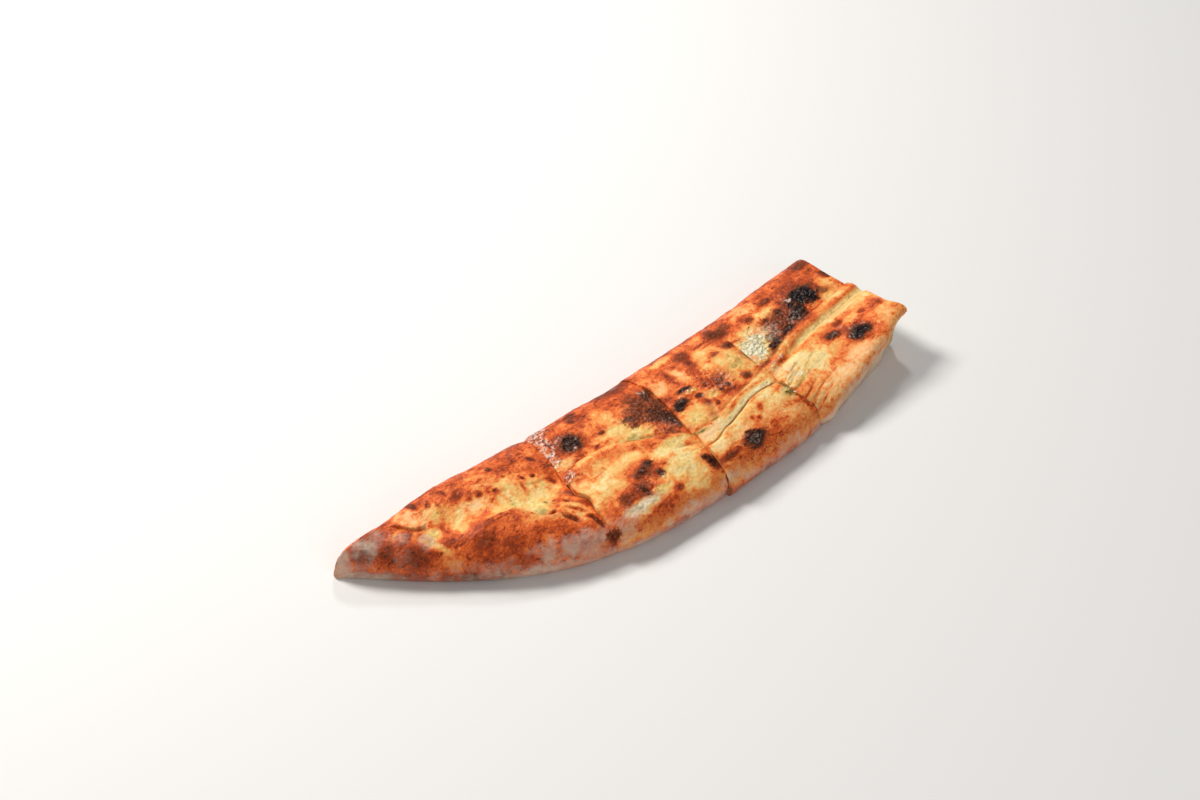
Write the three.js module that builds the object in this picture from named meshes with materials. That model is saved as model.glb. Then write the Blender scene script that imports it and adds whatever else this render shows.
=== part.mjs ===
// Half of a long closed flatbread, cut across into four slices that still lie together.
// A thin sheet of dough is folded over a flat filling: the far flap first, then the near flap
// over its edge, pressed down along a groove. One end is pinched to a tall blunt tip, the other
// end is the cut where the long bread was halved.
// Millimetres. +X runs from the tip to the cut end, +Y to the far long side, +Z up.

import * as THREE from "three";

// ---- Driving dimensions ----
const LENGTH = 344; // tip to cut end
const FULL_WIDTH = 97; // across the widest slice
const CUTS = [116, 192, 258]; // stations of the three knife cuts
const KERF = 0.8; // gap that the knife leaves between two slices
const CUT_SKEW = 6; // the cuts lie this much nearer the cut end at the far side than at the near
const SLICE_SWELL = [0, 0, 1.3, 0.4]; // each slice stands this much higher than the plain shape
const SLICE_SPREAD = [0, 0, 1.8, 0]; // and its near side stands out by this much

const TIP_ROUNDING = 200; // length over which the near side swings in to the tip
const TIP_FULLNESS = 2.6; // how blunt that swing is
const FAR_WAVE = 2.5; // the far side bows out and in by this much
const FAR_WAVE_LENGTH = 330;
const FAR_WAVE_START = 60;
const NARROWING_START = 245; // the near side draws in from here
const NARROWING = 15; // by this much
const NOSE_WIDTH = 1.8; // the pinched end, seen from above

const BODY_HEIGHT = 20.5; // flat middle of the bread
const NOSE_LENGTH = 25; // the pinched nose reaches its height over this length
const SHOULDER_RISE = 4.5; // extra swell behind the tip
const SHOULDER_STATION = 72;
const SHOULDER_SPREAD = 30;
const CORNER_RISE = 11; // the near flap stands up at the corner of the cut end
const CORNER_START = 282;
const BELLY_HEIGHT = 6; // the sides are widest at this height
const CORNER_BELLY_HEIGHT = 12; // and at this height, before its rise, at that corner
const HEEL = 4; // the bottom edge curves in by this much
const CORNER_HEEL = 7;

const WALL_SIDE = 4; // dough along the two long sides
const WALL_TOP = 3.6;
const WALL_BOTTOM = 3;
const CAVITY_START = 34; // the filling starts this far behind the tip
const CAVITY_FULL = 62; // and reaches its full size here
const CAVITY_START_SIZE = 0.35; // share of the full size at its start
const CAVITY_FOLDS = 0.5; // share of the top's folds that shows inside
const FILLING_GAP = 0.4;

const LIP_RISE = 2.4; // the near flap's edge stands above the far flap
const LIP_WIDTH = 10; // from the flap's edge to the pressed groove
const LIP_SETTLE = 14; // past the groove the near flap sinks back over this length
const GROOVE_DEPTH = 2.6;
const GROOVE_SPREAD = 2.6;
const SAG_DEPTH = 1.4; // the far flap sinks beside the lip
const SAG_SPREAD = 7;
const VALLEY_DEPTH = 3.4; // behind the tip both flaps meet in a valley
const VALLEY_SPREAD = 8;
const VALLEY_START = 20;
const OVERLAP_START = 84; // the valley turns into the overlapping lip from here
const OVERLAP_FULL = 116; // to here

const DOUGH_ROWS = [22, 14, 12, 16]; // spans along the outside of each slice
const FILLING_ROWS = [9, 5, 4, 6];
const FAR_SPANS = 7; // spans across the far flap
const NEAR_SPANS = 8; // and across the near flap
const FOLD_STATIONS = [-6, -0.3, 1.2, 6, 8.2, 10, 11.8, 15]; // from the lip's edge to the near side
const HEEL_TURNS = [0.5, 1]; // quarter turns at which the bottom edge is sampled
const FLOOR_SHARES = [-0.6, 0, 0.6];

// Edge of the near flap: station along the bread, and distance to the far side's line.
const SEAM_SPANS = 120;
const SEAM = new THREE.SplineCurve(
  [
    [-5, -2], [30, -7], [60, -25], [90, -33], [118, -39], [140, -38],
    [160, -46], [188, -64], [212, -63], [240, -57], [262, -54], [290, -45], [349, -40],
  ].map(([x, y]) => new THREE.Vector2(x, y)),
).getPoints(SEAM_SPANS);

// ---- Small helpers ----
const { lerp, smoothstep, clamp } = THREE.MathUtils;
const bell = (x, spread) => Math.exp(-((x / spread) ** 2));
const quarter = (share) => 1 - Math.cos((Math.PI / 2) * share);

function seamAt(x) {
  const next = SEAM.findIndex((point) => point.x >= x);
  const a = SEAM[next - 1];
  const b = SEAM[next];
  return lerp(a.y, b.y, (x - a.x) / (b.x - a.x));
}

// ---- Outline and height along the bread ----
function farSide(x) {
  return FAR_WAVE * Math.cos((2 * Math.PI * (x - FAR_WAVE_START)) / FAR_WAVE_LENGTH);
}

function nearSide(x) {
  const swing = 1 - Math.max(0, 1 - x / TIP_ROUNDING) ** TIP_FULLNESS;
  return NARROWING * smoothstep(x, NARROWING_START, LENGTH) - FULL_WIDTH * swing;
}

function topHeight(x) {
  const nose = Math.sqrt(1 - Math.max(0, 1 - x / NOSE_LENGTH) ** 4);
  return BODY_HEIGHT * nose + SHOULDER_RISE * bell(x - SHOULDER_STATION, SHOULDER_SPREAD);
}

// Height across the bread, from 1 along the crest to 0 at the sides. Near the tip the crest lies
// towards the far side and both flanks slope; further on the top is flat with square shoulders.
function pillow(x, y, far, near) {
  const crest = lerp(far, near, lerp(0.3, 0.5, smoothstep(x, 20, 110)));
  const share = y > crest ? (y - crest) / (far - crest) : (crest - y) / (crest - near);
  const farPower = lerp(2.6, 6, smoothstep(x, 0, 70));
  const nearPower = lerp(1.7, 5, smoothstep(x, 30, 150));
  return Math.sqrt(Math.max(0, 1 - share ** (y > crest ? farPower : nearPower)));
}

// Folds of the top: the near flap's lip, the pressed groove, and the valley behind the tip.
function folds(x, y) {
  const past = seamAt(x) - y;
  const overlap = smoothstep(x, OVERLAP_START, OVERLAP_FULL);
  const valley = smoothstep(x, VALLEY_START, VALLEY_START + 35) * (1 - overlap);
  const step = smoothstep(past, FOLD_STATIONS[1], FOLD_STATIONS[2]);
  const lip = LIP_RISE * step * Math.exp(-Math.max(0, past - LIP_WIDTH) / LIP_SETTLE);
  const sag = SAG_DEPTH * (1 - step) * Math.exp(Math.min(0, past) / SAG_SPREAD);
  const groove = GROOVE_DEPTH * bell(past - LIP_WIDTH, GROOVE_SPREAD);
  return overlap * (lip - sag - groove) - valley * VALLEY_DEPTH * bell(past, VALLEY_SPREAD);
}

// Where the top is sampled, from the far side to the near side: close together at the two sides
// and at the folds, so that the mesh lines follow the seam.
function topStations(x, far, near) {
  const width = far - near;
  const seam = clamp(seamAt(x), near + 0.3 * width, far - 0.12 * width);
  const reach = Math.min(1, (far - seam) / 12, (seam - near) / 28);
  const folded = FOLD_STATIONS.map((past) => seam - past * reach);
  const ys = [];
  for (let i = 0; i < FAR_SPANS; i++) {
    ys.push(lerp(far, folded[0], quarter(i / FAR_SPANS)));
  }
  ys.push(...folded);
  for (let i = NEAR_SPANS - 1; i >= 0; i--) {
    ys.push(lerp(near, folded[folded.length - 1], quarter(i / NEAR_SPANS)));
  }
  return ys;
}

// The cuts run askew, so each point moves along with its distance from the middle.
function askew(x, y) {
  const middle = (farSide(x) + nearSide(x)) / 2;
  const begun = smoothstep(x, 20, CUTS[0]);
  const gone = smoothstep(x, CUTS[2], LENGTH);
  return x + CUT_SKEW * begun * (1 - gone) * ((y - middle) / FULL_WIDTH);
}

// One closed ring of points at a station: over the top from far to near, then back below.
function ring(x, slice, layer) {
  const farEdge = farSide(x) - layer.side;
  const nearEdge = nearSide(x) - slice.spread + layer.side;
  const size = layer.size(x);
  const middle = (farEdge + nearEdge) / 2;
  const half = Math.max(NOSE_WIDTH / 2, (farEdge - nearEdge) / 2) * size;
  const far = middle + half;
  const near = middle - half;
  const roof = topHeight(x) + slice.swell - layer.top;
  const corner = smoothstep(x, CORNER_START, LENGTH);
  const belly = Math.min(BELLY_HEIGHT, roof * 0.45);
  const nearBelly = lerp(belly, CORNER_BELLY_HEIGHT, corner);

  const points = topStations(x, far, near).map((y) => {
    const across = (far - y) / (2 * half);
    const foot = lerp(belly, nearBelly, across ** 4) + CORNER_RISE * corner * smoothstep(across, 0.5, 1);
    const softened = 1 - Math.abs(2 * across - 1) ** 8;
    const rise = (roof - lerp(belly, nearBelly, across ** 4)) * size * pillow(x, y, far, near);
    return [y, foot + rise + folds(x, y) * layer.folded * softened];
  });

  const heel = (edge, inwards, top, turn) => [
    edge + inwards * quarter(turn),
    top - (top - layer.floor) * Math.sin((Math.PI / 2) * turn),
  ];
  const nearHeel = Math.min(lerp(HEEL, CORNER_HEEL, corner), half * 0.4);
  const farHeel = Math.min(HEEL, half * 0.4);
  const nearTop = nearBelly + CORNER_RISE * corner;
  HEEL_TURNS.forEach((turn) => points.push(heel(near, nearHeel, nearTop, turn)));
  FLOOR_SHARES.forEach((share) => points.push([middle + share * half, layer.floor]));
  [...HEEL_TURNS].reverse().forEach((turn) => points.push(heel(far, -farHeel, belly, turn)));
  return points.map(([y, z]) => [askew(x, y), y, z]);
}

// ---- Layers of a slice ----
const cavitySize = (x) => lerp(CAVITY_START_SIZE, 1, smoothstep(x, CAVITY_START, CAVITY_FULL));
const SKIN = { side: 0, top: 0, floor: 0, folded: 1, size: () => 1 };
const CAVITY = {
  side: WALL_SIDE,
  top: WALL_TOP,
  floor: WALL_BOTTOM,
  folded: CAVITY_FOLDS,
  size: cavitySize,
};
const FILLING = {
  side: WALL_SIDE + FILLING_GAP,
  top: WALL_TOP + FILLING_GAP,
  floor: WALL_BOTTOM + FILLING_GAP,
  folded: CAVITY_FOLDS,
  size: cavitySize,
};

// ---- Meshes from rings ----
class RingMesh {
  constructor() {
    this.points = [];
    this.triangles = [];
  }

  addRing(points) {
    const first = this.points.length / 3;
    points.forEach((point) => this.points.push(...point));
    return points.map((_, i) => first + i);
  }

  // Joins two rings of the same count that both run the same way round.
  join(a, b) {
    a.forEach((_, i) => {
      const j = (i + 1) % a.length;
      this.triangles.push(a[i], b[j], b[i], a[i], a[j], b[j]);
    });
  }

  // Closes a ring with a fan round its middle.
  close(ringPoints, facesTip) {
    const middle = new THREE.Vector3();
    ringPoints.forEach((i) => middle.add(new THREE.Vector3().fromArray(this.points, i * 3)));
    const [hub] = this.addRing([middle.divideScalar(ringPoints.length).toArray()]);
    ringPoints.forEach((a, i) => {
      const b = ringPoints[(i + 1) % ringPoints.length];
      this.triangles.push(...(facesTip ? [hub, b, a] : [hub, a, b]));
    });
  }

  geometry() {
    const geometry = new THREE.BufferGeometry();
    geometry.setAttribute("position", new THREE.Float32BufferAttribute(this.points, 3));
    geometry.setIndex(this.triangles);
    geometry.computeVertexNormals();
    return geometry;
  }
}

function evenStations(from, to, rows) {
  return Array.from({ length: rows + 1 }, (_, i) => lerp(from, to, i / rows));
}

// Stations close together at the nose, where the outline turns fastest.
function tipStations(to, rows) {
  const crowding = 1.5;
  return Array.from({ length: rows + 1 }, (_, i) => lerp(0.4, to, (i / rows) ** crowding));
}

// The dough of a slice: its skin and its cavity, joined round the rim of each cut.
function doughOf(slice) {
  const mesh = new RingMesh();
  const skinAt = slice.isTip
    ? tipStations(slice.to, slice.doughRows)
    : evenStations(slice.from, slice.to, slice.doughRows);
  const skin = skinAt.map((x) => mesh.addRing(ring(x, slice, SKIN)));
  const cavityAt = evenStations(slice.fillingFrom, slice.to, slice.fillingRows);
  const cavity = cavityAt.map((x) => mesh.addRing(ring(x, slice, CAVITY)));
  for (let i = 0; i < slice.doughRows; i++) mesh.join(skin[i], skin[i + 1]);
  for (let i = 0; i < slice.fillingRows; i++) mesh.join(cavity[i + 1], cavity[i]);
  mesh.join(skin[slice.doughRows], cavity[slice.fillingRows]);
  if (slice.isTip) {
    mesh.close(skin[0], true);
    mesh.close(cavity[0], false);
  } else {
    mesh.join(cavity[0], skin[0]);
  }
  return mesh.geometry();
}

// The filling of a slice, flush with the cuts and just clear of the dough.
function fillingOf(slice) {
  const mesh = new RingMesh();
  const at = evenStations(slice.fillingFrom, slice.to, slice.fillingRows);
  if (slice.isTip) at[0] += FILLING_GAP * 3;
  const rings = at.map((x) => mesh.addRing(ring(x, slice, FILLING)));
  for (let i = 0; i < slice.fillingRows; i++) mesh.join(rings[i], rings[i + 1]);
  mesh.close(rings[0], true);
  mesh.close(rings[slice.fillingRows], false);
  return mesh.geometry();
}

// ---- The bread ----
const crust = new THREE.MeshStandardMaterial({ color: 0xd98a45, roughness: 0.5, metalness: 0 });
const curd = new THREE.MeshStandardMaterial({ color: 0xd9d8a8, roughness: 0.6, metalness: 0 });

function named(name, geometry, material) {
  const mesh = new THREE.Mesh(geometry, material);
  mesh.name = name;
  return mesh;
}

const bread = new THREE.Group();
const edges = [0, ...CUTS, LENGTH];
DOUGH_ROWS.forEach((doughRows, i) => {
  const isTip = i === 0;
  const isEnd = i === DOUGH_ROWS.length - 1;
  const from = edges[i] + (isTip ? 0 : KERF / 2);
  const slice = {
    isTip,
    from,
    to: edges[i + 1] - (isEnd ? 0 : KERF / 2),
    fillingFrom: isTip ? CAVITY_START : from,
    doughRows,
    fillingRows: FILLING_ROWS[i],
    swell: SLICE_SWELL[i],
    spread: SLICE_SPREAD[i],
  };
  bread.add(named(`dough_${i + 1}`, doughOf(slice), crust));
  bread.add(named(`filling_${i + 1}`, fillingOf(slice), curd));
});

// The origin is the middle of the bottom of the box that the bread fills.
const box = new THREE.Box3().setFromObject(bread);
const centre = box.getCenter(new THREE.Vector3());
bread.position.set(-centre.x, -centre.y, -box.min.z);

export default bread;
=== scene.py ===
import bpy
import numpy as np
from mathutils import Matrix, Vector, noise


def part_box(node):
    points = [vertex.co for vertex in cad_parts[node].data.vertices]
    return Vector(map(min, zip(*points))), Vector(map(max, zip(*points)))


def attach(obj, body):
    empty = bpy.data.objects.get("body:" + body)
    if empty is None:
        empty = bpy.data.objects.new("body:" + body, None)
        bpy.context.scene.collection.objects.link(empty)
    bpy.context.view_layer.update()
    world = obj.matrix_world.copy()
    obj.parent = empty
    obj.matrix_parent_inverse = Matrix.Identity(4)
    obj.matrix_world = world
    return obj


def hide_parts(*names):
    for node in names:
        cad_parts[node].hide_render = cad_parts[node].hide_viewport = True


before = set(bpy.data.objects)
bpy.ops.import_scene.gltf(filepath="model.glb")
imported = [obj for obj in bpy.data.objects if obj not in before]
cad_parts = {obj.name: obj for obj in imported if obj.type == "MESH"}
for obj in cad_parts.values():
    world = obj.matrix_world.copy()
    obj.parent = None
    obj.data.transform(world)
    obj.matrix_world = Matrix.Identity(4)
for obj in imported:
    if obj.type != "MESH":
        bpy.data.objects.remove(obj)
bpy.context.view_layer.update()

# %% [markdown]
# # A closed pide, halved and cut in slices
#
# The real thing is a long sheet of bread dough, folded over a thin bed of white cheese and chopped
# greens, baked on hot stone until it blisters, brushed with butter and cut across. What lies here is
# one half of it: a pointed end slice and three blocks that still touch.
#
# The frame gives the size and the place of every slice. This script gives each slice its skin: the
# folds, the knife's cuts, the scorch marks and the crumb. The first cell loads the frame.

MM = 0.001

# %% [markdown]
# ## Where a point of the bread is
#
# A baker would say: so far from the tip, so far from the straight side. So x runs along the bread
# from the tip and y runs across it, 0 at the straight far side and negative towards the near side,
# all in millimetres. One small shift turns such a place into the frame's own coordinates.
#
# No two slices rose alike. The third one puffed up and spread most, so each slice has its own swell,
# which is how much higher it stands, and its own spread, which is how much further it reaches.

# %% Driving sizes of the bread
LENGTH = 344
FULL_WIDTH = 97
BODY_HEIGHT = 20.5
WALL = 3.4
CUTS = (116, 192, 258)
KERF = 0.12
CUT_SKEW = 6
SWELL = (0, 0, 1.3, 0.4)
SPREAD = (0, 0, 1.8, 0)
FAR_WAVE = 2.5
NARROWING = 15
OVERHANG = 4.4
SHIFT = np.array([
    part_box("dough_4")[1][0] / MM - LENGTH,
    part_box("dough_1")[1][1] / MM - FAR_WAVE,
    0,
])
print("shift to the frame in mm:", SHIFT.round(2))


# %% Curves that the shape is worked out from
def lerp(a, b, share):
    return a + (b - a) * share


def smoothstep(x, start, end):
    share = np.clip((np.asarray(x, float) - start) / (end - start), 0, 1)
    return share * share * (3 - 2 * share)


def bell(x, spread):
    return np.exp(-((x / spread) ** 2))


def through(points, x, ease=3):
    """A smooth line through points chosen along the bread: steps eased over a few millimetres."""
    xs, ys = zip(*points)
    return sum(np.interp(x + shift, xs, ys) for shift in (-ease, -ease / 2, 0, ease / 2, ease)) / 5


# %% The two long sides
WAVE_CREST, WAVE_LENGTH = 60, 330
SWING_LENGTH, SWING_POWER = 200, 2.6
OVERHANG_START, OVERHANG_END = (256, 274), (322, 342)
NARROWS_FROM = 245


def far_side(x):
    """Nearly straight: one long, shallow wave."""
    return FAR_WAVE * np.cos(2 * np.pi * (x - WAVE_CREST) / WAVE_LENGTH)


def near_side(x):
    """Swings out from the tip, hangs over along the last slice and comes in at the cut end."""
    swing = 1 - np.maximum(0, 1 - x / SWING_LENGTH) ** SWING_POWER
    overhang = OVERHANG * smoothstep(x, *OVERHANG_START) * (1 - smoothstep(x, *OVERHANG_END))
    return NARROWING * smoothstep(x, NARROWS_FROM, LENGTH) - overhang - FULL_WIDTH * swing


# %% [markdown]
# ## The height of the top
#
# The dough stands about 20 mm high in the middle. Behind the tip it humps up, at the nose it drops, and
# at the cut end the near corner has curled up in the oven. Across the bread the top is a pillow: flat
# with square shoulders along the blocks, and sloping on both sides near the tip. The pillow's power
# says how square a shoulder is, and the highest power is the overhanging edge of the last slice.

# %% Height of the plain top
NOSE_LENGTH = 25
HUMP_AT, HUMP_HEIGHT, HUMP_LENGTH = 72, 4.5, 30
FAR_POWERS = (2.6, 6)
NEAR_POWERS = (1.7, 5)
OVERHANG_POWER = 16
BELLY_HEIGHT, BELLY_SHARE = 6, 0.45
OVERHANG_HEIGHT = 16
CURL_FROM, CURL_HEIGHT = 282, 9


def top_height(x):
    nose = np.sqrt(1 - np.maximum(0, 1 - x / NOSE_LENGTH) ** 4)
    return BODY_HEIGHT * nose + HUMP_HEIGHT * bell(x - HUMP_AT, HUMP_LENGTH)


def pillow(x, y, far, near):
    """1 at the crest and 0 at both sides, with the shoulders of that place."""
    crest = lerp(far, near, lerp(0.3, 0.5, smoothstep(x, 20, 110)))
    share = np.where(y > crest, (y - crest) / (far - crest), (crest - y) / (crest - near))
    far_power = lerp(*FAR_POWERS, smoothstep(x, 0, 70))
    near_power = lerp(*NEAR_POWERS, smoothstep(x, 30, 150))
    near_power = lerp(near_power, OVERHANG_POWER, smoothstep(x, 262, 296))
    power = np.where(y > crest, far_power, near_power)
    return np.sqrt(np.maximum(0, 1 - np.clip(share, 0, 1) ** power))


def foot_height(x, across):
    """Height of the side's widest line, higher where the edge overhangs, and its climb at the corner."""
    belly = np.minimum(BELLY_HEIGHT, top_height(x) * BELLY_SHARE)
    overhung = lerp(belly, OVERHANG_HEIGHT, smoothstep(x, 260, 292))
    climb = CURL_HEIGHT * smoothstep(x, CURL_FROM, LENGTH) * smoothstep(across, 0.5, 1)
    return lerp(belly, overhung, np.clip(across, 0, 1) ** 4), climb


def plain_top(x, y, index):
    far, near = far_side(x), near_side(x) - SPREAD[index]
    foot, climb = foot_height(x, (far - y) / (far - near))
    return foot + climb + (top_height(x) + SWELL[index] - foot) * pillow(x, y, far, near)


# %% [markdown]
# ## The seam
#
# The far flap was laid down first and the near flap over it, so the near flap's edge runs along the
# whole bread as a soft lip. Ten millimetres behind it the baker pressed a groove with the fingertips.
# The lip could be a bump on a smooth top, but a real edge hangs over a little and throws a thin dark
# line, so the section curve turns back under itself there.
#
# A lip profile pairs the distance past the edge with the height above the plain top. On the third
# slice the groove wanders, now closer to the edge and now further off. Its profile stays the same, and
# the distance is stretched until the groove lies where the list says.

# %% Line of the near flap's edge, and its profile
SEAM = [
    (-5, -2), (30, -9), (44, -22), (53, -27), (65, -29), (80, -33), (95, -41), (106, -44), (116, -42),
    (128, -40), (148, -41), (160, -46), (176, -54), (188, -62), (192, -66),
    (212, -64.6), (225, -61.4), (239, -59.4), (252, -57.4),
    (258, -55.6), (270, -51), (289, -45.5), (311, -43), (350, -40),
]
LIP_PROFILES = {
    1: [(0, 1.4), (2, 2.3), (5, 2.2), (9, 1.5), (13, 1.6), (18, 1.3), (32, 0)],
    2: [(0, 1.0), (1.6, 1.7), (5, 1.2), (8.6, 0.5), (10.6, 0.1), (11.1, 0.1), (11.6, 1.2), (12.8, 1.9),
        (17, 1.8), (34, 0)],
    3: [(0, 1.2), (2.4, 2.2), (5.0, 1.8), (7.4, 0.3), (9.2, -0.3), (11.0, 0.2), (12.8, 1.3), (22, 1.0),
        (38, 0)],
}
PROFILE_GROOVE = 10.8
GROOVE_AT = [(190, 11), (200, 11.6), (207, 9), (225, 8.6), (231, 7.4), (240, 7.8), (247, 9.4), (258, 12)]
LIP_TUCK = 2.4
LIP_NOSE = 0.7
SAG_AT_EDGE, SAG_REACH, SAG_SLOPE = 1.3, 6, 0.35
VALLEY_DEPTH, VALLEY_FROM = 3.2, (34, 56)
VALLEY_NEAR_WIDTH, VALLEY_FAR_WIDTH = 7.5, 10


def seam(x):
    return through(SEAM, x, 2)


def beyond_lip(index, x, past):
    """Distance past the lip, stretched on the third slice to bring its groove to PROFILE_GROOVE."""
    return past * (PROFILE_GROOVE / through(GROOVE_AT, x, 2) if index == 2 else 1)


def lip_profile(index, x, past):
    """How far the near flap stands above the plain top, by the distance past its edge."""
    past = beyond_lip(index, x, past)
    own = through(LIP_PROFILES[index], past, 0.4)
    if index == 1:
        own = lerp(own, through(LIP_PROFILES[2], past, 0.4), smoothstep(x, 172, 190))
    return own


def far_sag(past):
    """How the far flap sags towards the edge that lies on it."""
    return -SAG_AT_EDGE * np.exp(np.minimum(0, past) / SAG_REACH) - SAG_SLOPE * np.maximum(0, past)


def valley_top(x, y):
    """Top of the end slice, where the two flaps meet in a valley."""
    past = seam(x) - y
    depth = VALLEY_DEPTH * smoothstep(x, *VALLEY_FROM)
    return plain_top(x, y, 0) - depth * bell(past, np.where(past > 0, VALLEY_NEAR_WIDTH, VALLEY_FAR_WIDTH))


# %% [markdown]
# ## One section of a slice
#
# A section is drawn as a baker would fold it: up the far wall, across the far flap, in under the lip,
# round the lip's edge, over the near flap, down the near wall and back along the floor. Each stretch
# is drawn finely and then walked in even steps, so that neighbouring sections match step for step.

# %% Stretches of a section
STEP = 0.5
FAR_STEPS = round(78 / STEP)
NEAR_STEPS = round(76 / STEP)
UNDER_STEPS, LIP_STEPS, FLOOR_STEPS = 5, 7, 22
WIDEST_HEEL, HEEL_SHARE = 4, 0.2
OVERHANG_HEEL, CORNER_HEEL = 3.6, 10


def walked(points, count):
    """Spreads count points evenly along a drawn line and keeps both its ends."""
    points = np.asarray(points)
    run = np.concatenate(([0], np.cumsum(np.hypot(*np.diff(points, axis=0).T))))
    at = np.linspace(0, run[-1], count)
    return np.column_stack([np.interp(at, run, points[:, i]) for i in (0, 1)])


def wall_foot(edge, inwards, top, heel, lean=0.0):
    """The bottom edge, from the floor up to the side's widest line: rounded, or leaning straight out."""
    share = np.linspace(0, 1, 16)
    turn = share * np.pi / 2
    inset = lerp(1 - np.sin(turn), 1 - share, lean)
    return np.column_stack([edge + inwards * heel * inset, top * lerp(1 - np.cos(turn), share, lean)])


def wall_feet(x, far, near):
    """Both bottom edges: the far one drawn upwards and the near one downwards, as the section runs."""
    overhangs = smoothstep(x, 260, 278)
    heel = np.minimum(WIDEST_HEEL, (far - near) * HEEL_SHARE)
    near_heel = lerp(lerp(heel, OVERHANG_HEEL, overhangs), CORNER_HEEL, smoothstep(x, 326, LENGTH))
    far_foot = wall_foot(far, -1, foot_height(x, 0.0)[0], heel)
    near_foot = wall_foot(near, 1, sum(foot_height(x, 1.0)), near_heel, overhangs)
    return far_foot, near_foot[::-1]


def across(start, end, crowded_end=False, count=90):
    """Places across the top, crowded together at the side wall, where the surface turns down."""
    share = np.linspace(0, 1, count)
    share = np.sin(share * np.pi / 2) if crowded_end else 1 - np.cos(share * np.pi / 2)
    return lerp(start, end, share)


def valley_stretches(x, far, near, far_foot, near_foot):
    """The end slice: two flaps that meet in the valley."""
    edge = np.clip(seam(x), lerp(near, far, 0.3), lerp(near, far, 0.88))
    far_ys, near_ys = across(far, edge), across(edge, near, crowded_end=True)
    return [
        walked(np.vstack([far_foot, np.column_stack([far_ys, valley_top(x, far_ys)])]), FAR_STEPS),
        walked(np.vstack([np.column_stack([near_ys, valley_top(x, near_ys)]), near_foot]), NEAR_STEPS)[1:],
    ]


def folded_stretches(x, index, far, near, far_foot, near_foot):
    """The other slices: the far flap, under the lip, round its edge, and the near flap."""
    edge = seam(x)
    far_ys = across(far, edge - LIP_TUCK)
    far_zs = plain_top(x, far_ys, index) + far_sag(edge - far_ys)
    near_ys = across(edge - LIP_NOSE, near, crowded_end=True, count=180)
    near_zs = plain_top(x, near_ys, index) + lip_profile(index, x, edge - near_ys)
    under_z = np.interp(edge, far_ys[::-1], far_zs[::-1]) + 0.4
    radius = (near_zs[0] - under_z) / 2
    turn = np.linspace(-np.pi / 2, np.pi / 2, 16)
    lip_y = edge - LIP_NOSE + (radius + LIP_NOSE) * np.cos(turn)
    lip_z = under_z + radius + radius * np.sin(turn)
    under = [(edge - LIP_TUCK, far_zs[-1] + 0.2), (lip_y[0], lip_z[0])]
    return [
        walked(np.vstack([far_foot, np.column_stack([far_ys, far_zs])]), FAR_STEPS),
        walked(under, UNDER_STEPS),
        walked(np.column_stack([lip_y, lip_z]), LIP_STEPS)[1:],
        walked(np.vstack([np.column_stack([near_ys, near_zs]), near_foot]), NEAR_STEPS)[1:],
    ]


# %% Section of the skin, and of the hollow inside
NARROWEST = 1.8
LINING_GAP = 0.4


def skin_ring(x, index):
    far, near = far_side(x), near_side(x) - SPREAD[index]
    if far - near < NARROWEST:
        middle = (far + near) / 2
        far, near = middle + NARROWEST / 2, middle - NARROWEST / 2
    far_foot, near_foot = wall_feet(x, far, near)
    if index == 0:
        stretches = valley_stretches(x, far, near, far_foot, near_foot)
    else:
        stretches = folded_stretches(x, index, far, near, far_foot, near_foot)
    floor_ys = np.linspace(near_foot[-1, 0], far_foot[0, 0], FLOOR_STEPS)[1:]
    return np.vstack(stretches + [np.column_stack([floor_ys, np.zeros(len(floor_ys))])])


def hollow_ring(x, index, ring):
    """The same ring seen from inside the dough: one wall thickness in from every side."""
    far, near = far_side(x) - WALL - LINING_GAP, near_side(x) - SPREAD[index] + WALL + LINING_GAP
    y = np.clip(ring[:, 0], near, far)
    top = len(ring) - FLOOR_STEPS + 1
    y[:top] = np.minimum.accumulate(y[:top])
    order = np.argsort(ring[:top, 0], kind="stable")
    roof = np.interp(y, ring[order, 0], ring[order, 1]) - WALL
    return np.column_stack([y, np.clip(ring[:, 1], WALL - 0.6, np.maximum(roof, WALL))])


test = skin_ring(150.0, 1)
print("a section has", len(test), "points and stands", round(float(test[:, 1].max()), 1), "mm high")


# %% [markdown]
# ## What the oven and the filling did to the skin
#
# The skin isn't even. Stone-hot spots scorch black and blister, thin places sink onto the green filling
# and stay pale and yellowish, folds catch the heat and go red-brown, and the low sides keep the flour
# of the board. Each of these is a list of patches: place, half length, half width, turn in degrees and
# strength. A patch's rim is broken up by noise, so no patch is an ellipse in the end. The same patches
# drive the colour and the relief, so that a scorch mark is also rough and a thin place also lumpy.

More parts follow.
